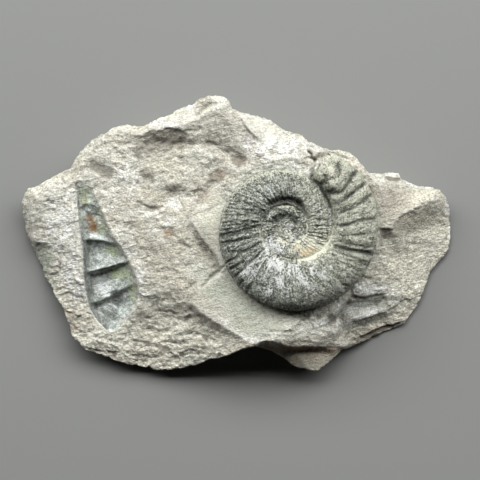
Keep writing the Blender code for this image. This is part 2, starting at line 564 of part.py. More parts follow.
def base_place(direction):
    """The place on the base patch's outline in a direction from the plan's middle."""
    outline = np.array(BASE, float) - PLAN_MIDDLE
    turn = np.arctan2(outline[:, 1], outline[:, 0])
    order = np.argsort(turn)
    turn, outline = turn[order], outline[order]
    turn = np.concatenate([[turn[-1] - 2 * np.pi], turn, [turn[0] + 2 * np.pi]])
    outline = np.concatenate([outline[-1:], outline, outline[:1]])
    k = int(np.searchsorted(turn, direction)) - 1
    a, b = outline[k], outline[k + 1]
    way = np.array([math.cos(direction), math.sin(direction)])
    side = b - a
    reach = (a[0] * side[1] - a[1] * side[0]) / (way[0] * side[1] - way[1] * side[0])
    return way * reach + PLAN_MIDDLE


def add_sides(mesh):
    """Sides from the outline in to the base patch, and the flat patch itself."""
    (ring,) = boundary_loops(mesh)
    above = ring
    feet = []
    for vertex in ring:
        x = vertex.co.x / STEP + PLAN_MIDDLE[0]
        y = PLAN_MIDDLE[1] - vertex.co.y / STEP
        direction = math.atan2(y - PLAN_MIDDLE[1], x - PLAN_MIDDLE[0])
        feet.append((x, y, vertex.co.z / MM, *base_place(direction)))
    for row in range(1, SIDE_ROWS + 1):
        down = row / SIDE_ROWS
        below = []
        for x, y, z, foot_x, foot_y in feet:
            drawn_in = down**1.3
            side_x, side_y = x + (foot_x - x) * drawn_in, y + (foot_y - y) * drawn_in
            height = z * (1 - down)
            if row < SIDE_ROWS:
                reach = math.hypot(side_x - PLAN_MIDDLE[0], side_y - PLAN_MIDDLE[1])
                push = -abs(SIDE_LUMPS * lumps(side_x, side_y, height * 3, 26, 8.2)) * MM / STEP
                side_x += (side_x - PLAN_MIDDLE[0]) / reach * push
                side_y += (side_y - PLAN_MIDDLE[1]) / reach * push
            below.append(mesh.verts.new((*plan(side_x, side_y), height * MM)))
        for k in range(len(ring)):
            after = (k + 1) % len(ring)
            mesh.faces.new((above[after], above[k], below[k], below[after]))
        above = below
    mesh.faces.new(above)


def finished(name, mesh):
    """The mesh as an object with flat triangles, its faces outward, and its own material."""
    bmesh.ops.triangulate(mesh, faces=mesh.faces[:])
    bmesh.ops.recalc_face_normals(mesh, faces=mesh.faces[:])
    data = bpy.data.meshes.new(name)
    mesh.to_mesh(data)
    mesh.free()
    made = bpy.data.objects.new(name, data)
    bpy.context.scene.collection.objects.link(made)
    data.materials.append(material(name))
    if name == "ammonite":
        data.shade_smooth()
        data.set_sharp_from_angle(angle=math.radians(50))
    return made


COLOURS = {"rock": ((0.52, 0.505, 0.435), 0.9), "ammonite": ((0.2, 0.21, 0.185), 0.8)}


def material(name):
    """A matt stone colour."""
    colour, roughness = COLOURS[name]
    made = bpy.data.materials.new(name)
    made.use_nodes = True
    shader = made.node_tree.nodes["Principled BSDF"]
    shader.inputs["Base Color"].default_value = (*colour, 1)
    shader.inputs["Roughness"].default_value = roughness
    shader.inputs["Metallic"].default_value = 0.0
    return made


def main():
    for old in list(bpy.data.objects):
        bpy.data.objects.remove(old)
    build_rock(UpperFace())
    build_ammonite()


main()
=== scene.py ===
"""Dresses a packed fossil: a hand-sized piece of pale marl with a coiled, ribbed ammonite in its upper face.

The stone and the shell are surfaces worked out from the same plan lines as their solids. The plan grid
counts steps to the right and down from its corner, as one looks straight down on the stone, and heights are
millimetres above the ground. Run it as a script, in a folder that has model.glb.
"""

import math
from itertools import product

import bpy
import numpy as np
from bpy.props import FloatProperty, FloatVectorProperty, PointerProperty
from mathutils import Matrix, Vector
from mathutils.geometry import delaunay_2d_cdt


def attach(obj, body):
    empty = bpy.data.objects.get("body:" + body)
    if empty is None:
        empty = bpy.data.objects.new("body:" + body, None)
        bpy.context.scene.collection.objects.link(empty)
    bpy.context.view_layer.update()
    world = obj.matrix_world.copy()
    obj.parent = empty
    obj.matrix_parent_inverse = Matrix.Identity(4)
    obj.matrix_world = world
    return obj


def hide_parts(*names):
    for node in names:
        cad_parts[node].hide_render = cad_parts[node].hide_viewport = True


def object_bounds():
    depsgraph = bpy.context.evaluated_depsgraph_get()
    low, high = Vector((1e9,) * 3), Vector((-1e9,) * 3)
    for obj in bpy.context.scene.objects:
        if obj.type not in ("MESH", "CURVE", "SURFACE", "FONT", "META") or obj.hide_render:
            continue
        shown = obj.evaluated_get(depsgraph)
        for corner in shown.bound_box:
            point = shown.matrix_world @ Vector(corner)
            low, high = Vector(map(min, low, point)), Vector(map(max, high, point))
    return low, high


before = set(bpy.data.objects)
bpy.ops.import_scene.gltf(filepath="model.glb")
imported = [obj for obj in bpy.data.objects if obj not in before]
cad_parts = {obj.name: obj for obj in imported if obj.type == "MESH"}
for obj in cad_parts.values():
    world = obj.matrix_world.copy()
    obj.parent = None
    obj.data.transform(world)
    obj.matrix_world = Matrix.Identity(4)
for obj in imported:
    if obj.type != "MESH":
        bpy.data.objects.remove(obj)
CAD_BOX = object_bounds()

bl_info = {
    "name": "Ammonite in Marl",
    "version": (1, 0, 0),
    "blender": (4, 5, 0),
    "location": "3D View > Sidebar > Fossil",
    "description": "Builds the stone, the coiled shell in it and the table they lie on",
    "category": "Add Mesh",
}

MM = 0.001
STEP = 0.052 / 168  # one step of the plan grid in metres: the shell is 52 mm and 168 steps wide
PLAN_MIDDLE = (236.5, 233.5)  # the plan place over the origin

# The stage, in metres; the picture's width is in steps
PICTURE = 480
TABLE_HALF = 2.5
LIGHT_PLACE = (0.1, 0.5, 0.53)
LIGHT_SIZE = (2.4, 0.46)
SENSOR = 36.0  # in millimetres, as the lens is
FOCUS_LEVEL = 10 * MM  # height at which the picture is just PICTURE steps wide

# How fine the meshes are
FACE_COLUMNS = 350
FACE_ROWS = 208
FACE_ROUNDS = 60  # of averaging that evens out the face grid
SIDE_ROWS = 16
BASE_SHARES = (0.98, 0.92, 0.8, 0.62, 0.42, 0.2)  # of the way out from the middle, for the rings below
SHELL_TURN = 700  # rows of points in one turn of the spiral
SHELL_ROWS = 35

# fmt: off
# The ammonite
SHELL_CENTRE = (288.0, 228.0)
MOUTH_ANGLE = 66.0  # degrees, anticlockwise from +X, where the last whorl is broken off
WHORLS = 3.25
START_ANGLE = MOUTH_ANGLE - 360.0 * WHORLS
SHELL_MIDDLE = 17.2  # height of the last whorl's middle plane, in millimetres
SHELL_FLOOR = 11.8  # height of the shell's underside, in the stone
WHORL_RISE = 6.9  # half the last whorl's thickness at the radius below
WHORL_RISE_RADIUS = 90.0
CENTRE_LIFT = 1.5  # how much higher the middle plane is at the shell's centre
OVAL_SIDE = 2.3  # the two powers of a whorl's oval, see oval_height
OVAL_TOP = 0.45
MOUTH_DROP = 2.2  # how much lower the broken end lies, in millimetres
CEILING_GAP = 1.2  # millimetres below the box's top where heights begin to be held back
CEILING_EASE = 1.1  # and how far above that they may still come
# Height of a seam as a share of the inner whorl's rise, against the angle of the spiral
SEAM_SHARE = (
    (-1110, 0.8), (-720, 0.8), (-560, 0.35), (-520, 0.4), (-500, 0.8), (-425, 0.86), (-395, 0.7),
    (-370, 0.5), (-340, 0.35),
)
# Degrees that a rib leans forward across its whorl, against the angle round the shell
RIB_LEAN = ((0, 4), (30, 2), (66, -4), (95, 3), (120, 9), (150, 13), (180, 7), (230, 0), (300, 4), (360, 4))
INNER_LEAN = 6.0
# Height of the last whorl's edge where it meets the stone, against the angle round the shell
SHELL_FOOT = (
    (0, 16.4), (30, 16.6), (60, 15.6), (66, 19.4), (90, 20), (150, 19), (190, 18), (225, 17), (250, 16.8),
    (290, 16.4), (330, 14.8), (360, 16.4),
)
# Radius of the spiral's outer edge in plan steps, against its angle, which grows by 360 degrees a turn
SPIRAL_EDGE = (
    (-1080, 6.2), (-900, 11.5), (-720, 19.0), (-660, 21.3), (-600, 24.0), (-540, 27.0), (-480, 29.3),
    (-450, 31.0), (-420, 34.5), (-390, 39.5), (-360, 44.0), (-330, 47.5), (-300, 53.0), (-270, 57.5),
    (-240, 62.0), (-210, 66.0), (-180, 69.0), (-150, 73.0), (-120, 78.0), (-90, 82.5), (-60, 85.5),
    (-30, 88.5), (0, 90.0), (30, 90.3), (50, 88.8), (66, 84.8), (90, 78.0),
)

# The stone's outline seen from above, clockwise from its left end, with the height of the edge there
RIM = (
    (21, 203, 5.6), (24, 194, 6.6), (28, 188, 7.6), (38, 185.5, 8.4), (47, 180, 9.2), (58, 174, 9.8),
    (68, 169, 10), (75, 160, 10.6), (80, 152, 10.8), (90, 141, 11.2), (100, 135, 12), (110, 129, 12.8),
    (120, 126, 13.4), (127, 124.5, 13.6), (136, 126, 13.8), (144, 126, 14.4), (152, 122, 14.5),
    (160, 118, 14.4), (170, 115, 14.4), (181, 107, 13.9), (192, 104, 14.8), (200, 99, 15.7),
    (210, 95.5, 16.7), (224, 97, 17.3), (229, 101, 17.2), (233, 109, 17.6), (240, 112.5, 17.2),
    (258, 116, 16.6), (270, 120, 16.1), (280, 128, 16.4), (291, 132, 17), (303, 136, 17.2),
    (308, 141, 17.6), (318, 146, 16.6), (329, 149.5, 14.5), (338, 149, 14.2), (350, 153, 14.2),
    (358, 159.5, 14.2), (363, 166, 14.2), (367, 172, 14), (375, 173, 13.4), (383, 174, 12.6),
    (386, 172.5, 12), (399, 173, 10.4), (401, 178, 10.6), (410, 183, 9.6), (420, 186, 8.6),
    (432, 187, 7.6), (441, 190, 6.7), (447, 198, 4.8), (451, 207, 3.2), (450, 218, 2), (452, 232, 1.6),
    (450, 248, 1.4), (445, 257, 1.4), (438, 263, 1.4), (432, 272, 1.4), (427, 284, 1.5), (424, 293, 1.5),
    (421, 302, 1.5), (413, 312, 1.5), (406, 323, 1.5), (395, 328, 1.5), (380, 334, 1.5), (365, 342, 1.8),
    (350, 348, 3.2), (341, 351, 5.8), (337, 355, 6.4), (328, 364, 6.6), (318, 371, 6.6),
    (311, 371.5, 6.8), (298, 368, 7.2), (290, 364, 7.6), (283, 357, 8.2), (272, 351.5, 8.6),
    (262, 348, 9.4), (257, 346.3, 15.2), (250, 347, 15.8), (240, 350, 14.6), (225, 357, 11.9),
    (210, 360, 8.9), (195, 366, 6.7), (180, 369, 5), (165, 371, 4), (155, 370.5, 3.6), (142, 367, 3.6),
    (130, 366, 4), (124, 363.5, 4.4), (116, 361, 4.6), (105, 357, 4.8), (95, 353, 5), (85, 350, 5),
    (80, 345, 5.2), (72, 337, 5.4), (69, 328, 5.5), (66, 318, 5.5), (63, 309, 5.4), (55, 297, 5.2),
    (50, 285, 4.2), (44, 277, 3), (40, 266, 2.2), (36, 257, 1.8), (32, 250, 1.8), (30, 243, 2.4),
    (26, 236, 2.8), (24, 226, 3.4), (22, 214, 4.4),
)

# The flat patch that the stone rests on, seen from above, clockwise from its left end
BASE = (
    (36, 218), (52, 190), (90, 164), (130, 142), (175, 132), (212, 120), (250, 133), (305, 152),
    (355, 176), (405, 194), (438, 218), (443, 236), (434, 260), (418, 286), (411, 304), (400, 318),
    (378, 328), (354, 340), (332, 355), (312, 365), (294, 358), (278, 338), (256, 322), (224, 330),
    (188, 354), (150, 361), (106, 348), (82, 330), (72, 306), (53, 276), (42, 250),
)

# Lines on the upper face where it bends, each a run of plan places with heights
FACE_LINES = {
    "northwest brow": ((32, 206, 8.6), (38, 200, 10.4), (50, 194, 11.4), (62, 189, 12), (72, 183, 12.6),
        (79, 172, 12.8), (84, 160, 13), (90, 151, 13.2), (99, 142, 13.8), (109, 135, 14.8),
        (120, 131.5, 15.4), (132, 132, 16), (141, 135, 16.2)),
    "scoop edge": ((141, 135, 16.2), (150, 131.5, 16.8), (160, 129, 17.4), (168, 127.5, 17.8),
        (176, 128, 17.8), (183, 131.5, 17.4), (191, 138, 16.8)),
    "scoop foot": ((142, 143, 14.7), (152, 143.5, 14.3), (163, 143, 14.1), (174, 142.5, 14.3),
        (183, 142, 14.9), (190, 144, 15.7)),
    "scoop rise": ((140, 152, 14.8), (155, 152, 14.3), (170, 151, 14.4), (182, 153, 15.2)),
    "peak brow": ((176, 128, 17.8), (186, 124, 17.8), (196, 120, 18.4), (206, 112.5, 19.1),
        (216, 108, 19.9), (226, 107, 19.7), (234, 113, 19.6), (241, 117, 19.6), (247, 127, 19.6),
        (253, 134, 19.6), (261, 140, 19.2)),
    "peak ledge": ((190, 110, 15.4), (201, 103.5, 16.6), (212, 99.5, 17.5), (222, 101, 18)),
    "peak gully": ((194, 117, 16.9), (203, 109.5, 16.4), (212, 105, 17.3)),
    "shell bank": ((261, 140, 19.2), (272, 141, 18.8), (286, 140.5, 18.6), (298, 143, 18.8),
        (309, 148, 19), (320, 153, 18.6)),
    "shell collar": ((224, 196, 18.1), (235, 182, 18.8), (247, 171, 19.6), (262, 163, 20.2),
        (280, 159, 20.6), (296, 159, 20.6), (308, 163, 19.9)),
    "corner above the shell": ((328, 153, 15), (338, 152.3, 15), (350, 156, 15), (359, 164, 15),
        (365, 172, 14.8)),
    "brown hollow edge": ((229, 168, 18.8), (223, 182, 18.3), (214, 190, 18.2)),
    "brown hollow floor": ((217, 172, 16.9), (213, 181, 16.4), (205, 192, 15.9), (196, 204, 15.6)),
    "left plate edge": ((214, 190, 18.2), (204, 205, 17.5), (192, 221, 16.6), (201, 235, 16.5),
        (211, 248, 16.5), (219.5, 260, 16.4)),
    "left plate foot": ((187, 224, 15.2), (196, 240, 15.1), (206, 253, 14.9), (214, 261.5, 14.8)),
    "notch floor": ((176, 250, 14.4), (196, 262, 14.6), (214, 267, 14.4)),
    "notch edge": ((186, 290, 14.2), (200, 282.5, 14.7), (212, 276, 15), (219, 270, 15.1)),
    "south plate edge": ((191, 298, 14.6), (193, 303, 14.7), (200, 311, 14.9), (211, 320, 15.3),
        (226, 329, 15.9), (241, 338, 16.2), (253, 344, 16.4)),
    "south plate side": ((191, 298, 14.6), (203, 289, 15.6), (214, 280, 16.2), (222, 274, 16.4)),
    "south plate foot": ((184, 304, 12.8), (192, 310, 12.8), (199, 317, 12.8), (210, 325, 13),
        (225, 334, 13.9), (239, 342, 15.2)),
    "south plate middle": ((215, 300, 16.2), (232, 312, 16.6), (252, 326, 16.6), (275, 333, 16.8)),
    "slab edge": ((259, 343, 16.2), (269, 340.5, 16.6), (280, 340, 16.6), (292, 338.5, 16.2),
        (306, 336, 15.5), (320, 337, 14.2), (334, 342, 10), (343, 346.5, 7.6)),
    "slab lip": ((270, 342.8, 16), (280, 344.8, 15.5), (290, 346.6, 14.9), (300, 347, 14.2),
        (312, 346.6, 13.2), (324, 346.8, 11.4), (335, 347, 8.9)),
    "spur root": ((264, 346.3, 10.6), (277, 349, 11.2), (293, 350.5, 11.2), (307, 350, 10.8),
        (321, 350.5, 9.7), (333, 352, 7.9)),
    "south slope head": ((132, 322, 8.2), (143, 315, 9), (154, 309, 9.6), (166, 307, 10.4),
        (178, 311, 11)),
    "south slope step": ((140, 325, 7.4), (153, 317, 8.6), (166, 314, 9.4), (178, 319, 9.7),
        (188, 324, 10.1)),
    "south slope": ((92, 342, 6), (110, 347, 6), (130, 350, 5.9), (155, 352, 5.8), (180, 350, 7.5),
        (205, 345, 9.9), (228, 345, 13.4)),
    "southwest brow": ((74, 326, 6.2), (70, 310, 6.4), (60, 292, 6.2), (54, 280, 5.8)),
    "green hollow edge": ((54, 280, 5.8), (51, 264, 6.6), (48, 250, 7.2), (40, 243.5, 7), (34, 241, 6.2)),
    "green hollow floor": ((47, 276, 4.4), (43, 262, 4.2), (39, 251, 4.2)),
    "west brow": ((32, 206, 8.6), (31, 220, 7.6), (33, 232, 6.8), (34, 241, 6.2)),
    "east plate edge": ((381, 227.5, 16.6), (391, 227, 16.4), (402, 217, 15.8), (418, 208, 14.2),
        (429, 201, 12), (440, 200, 8.6)),
    "east valley": ((383, 238, 13.8), (397, 238, 12.6), (412, 233, 10), (428, 228, 6.9), (442, 222, 3.9)),
    "east brow": ((384, 181, 15.8), (402, 184, 13.2), (420, 191, 11.6), (434, 193, 9.8), (440, 200, 8.6),
        (445, 210, 5.1), (446, 230, 2.9), (441, 247, 2.9), (431, 259, 3.2), (423, 273, 3.4),
        (418, 288, 3.4), (412, 300, 3)),
    "east chip": ((386, 175.5, 12.8), (398, 176, 12)),
    "ledge crest": ((360, 286, 12.6), (372, 283.5, 11), (386, 288.5, 8.8), (398, 294, 6), (408, 288, 4.8)),
    "ledge edge": ((351, 294.5, 12.2), (360, 293.5, 11.5), (368, 296, 10), (376, 293.5, 9.2),
        (385, 294, 8), (389, 301, 6)),
    "ledge foot": ((352, 298.5, 11.2), (361, 298.5, 10), (369, 300, 8.6), (377, 298.5, 7.8),
        (383, 301, 6.8)),
    "hollow rim": ((340, 313, 9.8), (351, 320, 8.1), (366, 317.5, 7), (381, 312, 6), (391, 306.5, 5),
        (400, 301, 4)),
    "southeast face": ((345, 331, 6.2), (362, 326, 4.1), (378, 320, 3.6), (394, 314, 3.2),
        (406, 306, 2.8)),
    "southeast edge": ((351, 343.3, 4.2), (362, 336.7, 3.1), (371, 332, 2.7), (378, 328, 2.6),
        (388, 324.6, 2.4), (397, 323.4, 2.2)),
    "lumps": ((304, 317, 16.2), (316, 314.5, 16), (326, 317, 14.6), (334, 313, 14.2)),
    "south shelf": ((288, 329, 17), (305, 329, 16.2), (322, 329, 14.6), (336, 331, 11.9)),
}

# Single places on the upper face
FACE_PLACES = (
    (46, 222, 9.6), (60, 240, 10), (66, 270, 8.6), (74, 296, 7.6), (84, 325, 6.8), (66, 205, 12),
    (72, 222, 12.2), (74, 250, 11), (78, 280, 9.6), (100, 155, 14.2), (118, 145, 15.4), (98, 168, 13),
    (108, 175, 13.4), (116, 165, 14.8), (125, 190, 14.4), (146, 176, 14.4), (130, 215, 13.8),
    (160, 190, 15.2), (172, 194, 14.6), (185, 180, 16), (150, 205, 14.6), (165, 216, 14.8),
    (152, 228, 14.4), (145, 245, 13.6), (170, 232, 15), (160, 262, 13.4), (146, 275, 12.6),
    (148, 296, 11.2), (175, 285, 13.6), (172, 270, 13.6), (205, 155, 17.5), (211, 144, 16.9),
    (222, 135, 18.6), (236, 128, 19), (205, 128, 18.1), (240, 160, 17.8), (250, 150, 19),
    (275, 150, 19.6), (196, 172, 16.6), (122, 340, 6.4), (106, 333, 6.8), (165, 335, 7.8),
    (190, 338, 9.1), (215, 340, 11.3), (400, 200, 15.6), (388, 205, 16.6), (378, 185, 16.6),
    (396, 255, 9.8), (415, 252, 6.8), (410, 275, 5.6), (385, 270, 11), (430, 242, 5.3), (395, 283, 7.4),
    (362, 308, 7.6), (376, 305, 5.9), (346, 306, 9.7), (330, 325, 11.8), (300, 358, 9.8), (318, 360, 8.6),
    (212, 222, 17.5),
)

# The snail mould: its steep left wall, its right edge, and the lines between its whorls, from the top down
MOULD_LEFT = (
    (76, 178), (77, 200), (79, 220), (81, 238), (83, 255), (83, 272), (86, 296), (90, 310), (97, 321),
    (106, 330),
)
MOULD_RIGHT = (
    (86, 178), (91, 187), (97, 200), (103, 214), (108, 227), (113, 238), (121, 247), (129, 261),
    (134, 272), (138, 284), (139, 296), (136, 306), (128, 316), (119, 328), (114, 331),
)
MOULD_SEAMS = (
    ((74, 182), (84, 181), (94, 184)),
    ((77, 209), (85, 204), (92, 204), (98, 208), (105, 216)),
    ((79, 228), (92, 225), (110, 229)),
    ((80, 240), (90, 239), (103, 240), (120, 245)),
    ((82, 273), (95, 271), (105, 268), (115, 265), (130, 260.5)),
    ((85, 305), (100, 301), (110, 296), (118, 291), (128, 286), (140, 282)),
    ((88, 326), (104, 331), (114, 332), (124, 331), (140, 322)),
)
MOULD_DEPTH = 0.4  # the mould's depth as a share of its width
MOULD_RIDGE = (0.3, 0.3, 0.06, 0.42, 0.5, 0.34, 0.2)  # how much of the depth each seam's ridge takes back
MOULD_WALL = 0.14  # share of the width taken by the steep left wall
MOULD_DROP = 0.13  # share of a whorl in which the ridge above it falls off
# Where the mould's top and its foot lie, down the plan, and over how many steps it deepens from there
MOULD_ENDS = ((180, 18), (334, 7))

# How the shell lies in the face, in millimetres
COLLAR_DEPTH = 0.2  # of the groove round it
LOWEST_FACE = 0.5  # the face lies nowhere lower
POCKET_COVER = 0.6  # how far above its underside the face may lie within its outline

# Rim places at the corners of the face grid
FACE_CORNERS = ((28, 188, 7.6), (441, 190, 6.7), (406, 323, 1.5), (85, 350, 5))

# Smooth plates, where the broken face has no lumps
PLATES = (
    ((214, 190), (192, 219), (198, 232), (206, 244), (214, 253), (221, 261), (226, 225), (228, 200)),
    ((226, 268), (190, 297), (199, 311), (226, 328), (253, 345), (275, 335), (300, 318), (250, 300)),
    ((236, 111), (258, 118), (270, 123), (285, 134), (266, 141), (250, 130)),
    ((345, 302), (384, 300), (384, 308), (352, 318)),
    ((87, 166), (90, 161), (97, 163), (113, 169), (116, 172), (110, 179), (104, 180), (92, 172)),
    ((286, 352), (330, 352), (334, 356), (319, 371), (300, 367)),
)
# Brown-grey facets, each with its strength. Above 0.7 a facet is also darkened as painted shade: the scoop,
# under ledges, undersides
BROWN_AND_SHADE = (
    (((88, 167), (91, 160.5), (97, 162.5), (106, 166), (115, 169.5), (113, 175), (110.5, 180), (104, 178),
      (96, 173)), 1.0),
    (((142, 136), (146, 133), (153, 130), (160, 131), (165, 128), (175, 128), (181, 130), (187, 134),
      (192, 137.5), (186, 139), (180, 142), (170, 145), (158, 146), (148, 144)), 1.0),
    (((137, 140), (148, 142), (160, 144), (172, 143), (184, 139), (188, 145), (180, 150), (172, 149),
      (165, 153), (158, 150), (150, 156), (142, 152), (136, 158), (134, 148)), 0.8),
    (((193, 222), (199, 234), (207, 246), (215, 255), (222, 262), (223, 268), (214, 267), (205, 259),
      (198, 246)), 0.55),
    (((192, 303), (199, 312), (211, 320), (226, 329), (241, 338), (253, 345), (247, 347), (236, 346),
      (222, 340), (206, 332), (197, 320)), 0.15),
    (((379, 228), (389, 227.5), (391, 232), (390, 237), (384, 237), (379, 236)), 1.45),
    (((350, 295), (365, 297.5), (386, 294.5), (387, 298), (372, 300), (352, 299)), 1.0),
    (((390, 228), (400, 217), (410, 212), (425, 202), (440, 206), (436, 218), (420, 226), (404, 230),
      (393, 234)), 0.3),
    (((357, 341), (366, 335), (372, 331), (385, 326), (395, 324), (404, 322), (398, 326), (388, 331),
      (378, 335), (366, 341), (352, 347)), 1.3),
    (((349, 322), (368, 318.5), (388, 311), (399, 304), (411, 296), (417, 300), (404, 318), (388, 322),
      (364, 331), (350, 337)), 0.25),
    (((256, 345), (265, 341), (271, 341), (285, 346), (298, 348), (315, 347), (337, 347), (334, 352),
      (300, 352), (280, 354), (264, 350)), 0.75),
    (((280, 354), (300, 352), (334, 352), (338, 355), (319, 372), (296, 369)), 0.2),
    (((300, 314), (310, 315), (312, 319), (304, 321), (298, 318)), 1.0),
    (((327, 317), (332, 314), (337, 318), (337, 322), (331, 321)), 1.2),
    (((315, 316), (320, 315), (322, 319), (317, 320)), 1.1),
    (((385.5, 177), (400, 177.5), (400.5, 181.5), (391, 182), (386, 180)), 1.35),
    (((138, 171), (144, 168), (153, 170), (157, 175), (153, 181), (144, 180)), 1.0),
    (((164, 187), (172, 183.5), (181, 187), (183, 192), (176, 197), (167, 196)), 0.7),
    (((231, 156), (240, 152), (247, 157), (245, 164), (238, 168), (233, 165)), 1.1),
    (((208, 173), (217, 169), (226, 172), (224, 181), (215, 184), (209, 180)), 0.8),
    (((186, 128), (197, 125), (200, 131), (192, 137)), 0.6),
    (((203, 143), (211, 141), (216, 145), (210, 148)), 1.0),
    (((189, 218), (197, 208), (207, 198), (213, 189), (222, 179), (219, 173), (209, 185), (199, 196),
      (189, 208)), 0.4),
    (((176, 155), (183, 158), (188, 163), (180, 161)), 0.9),
    (((135, 151), (142, 152), (143, 158), (137, 160)), 0.9),
    (((191, 116), (200, 112), (210, 98), (214, 99), (208, 109), (199, 117)), 0.45),
    (((196, 118), (208, 112), (226, 110), (233, 122), (226, 134), (208, 138), (198, 130)), 0.25),
    (((246, 128), (251, 133), (258, 140), (252, 140), (246, 134)), 0.7),
    (((35, 243), (48, 245), (48, 248), (42, 248), (36, 247)), 0.7),
    (((166, 230), (172, 228), (176, 231), (172, 235), (167, 234)), 0.8),
    (((127, 222), (136, 221), (134, 225), (128, 226)), 0.8),
    (((141, 204), (152, 206), (160, 208), (150, 210)), 0.9),
    (((145, 240), (152, 238), (158, 243), (152, 250), (146, 248)), 0.5),
    (((176, 240), (186, 242), (195, 248), (184, 247)), 0.7),
    (((66, 312), (73, 314), (76, 319), (68, 318)), 0.7),
)
# Finely grained places with few chips: plan place, half sizes in steps, tilt in degrees, strength
CALM = (
    (414, 250, 44, 46, 0, 1.2), (398, 203, 34, 20, -15, 1.3), (392, 296, 26, 16, -20, 0.8),
    (372, 318, 40, 10, -18, 0.7), (168, 250, 34, 34, 0, 0.6), (60, 225, 30, 40, 0, 0.5),
    (220, 122, 22, 14, 0, 0.5), (120, 190, 30, 20, 0, 0.3), (265, 335, 40, 12, 0, 0.7),
    (310, 362, 40, 14, 0, 0.8), (300, 340, 34, 8, 0, 0.4),
)
# The scalloped slope along the near edge
SLOPE = (
    (88, 334), (120, 328), (143, 322), (160, 311), (178, 316), (206, 328), (236, 345), (225, 357),
    (165, 371), (105, 357),
)
# Cracks and deep steps, each with its width in plan steps and its depth in millimetres
CRACKS = (
    (((311, 178), (312.5, 170), (315, 165), (314, 160), (311, 157.5), (311.5, 154.5), (308, 152)), 1.2,
      1.5),
    (((314.5, 160), (318, 157.5), (319, 154)), 1.1, 0.9),
    (((314, 160.5), (309.5, 158), (306, 158.5)), 0.9, 0.7),
    (((201, 287), (206, 283), (212, 276), (218, 271), (225, 266)), 1.3, 0.8),
    (((186, 291), (190, 287), (196, 282)), 1.3, 0.6),
    (((270, 331.5), (285, 332), (297, 330)), 1.0, 0.4),
    (((76, 184), (77, 199), (79, 205), (81, 225), (83, 255)), 1.3, 0.6),
    (((34, 245), (40, 246.5), (49, 250)), 2.0, 0.3),
)
LEDGE_BOX = 70  # steps from a ledge's middle in which it is worked out
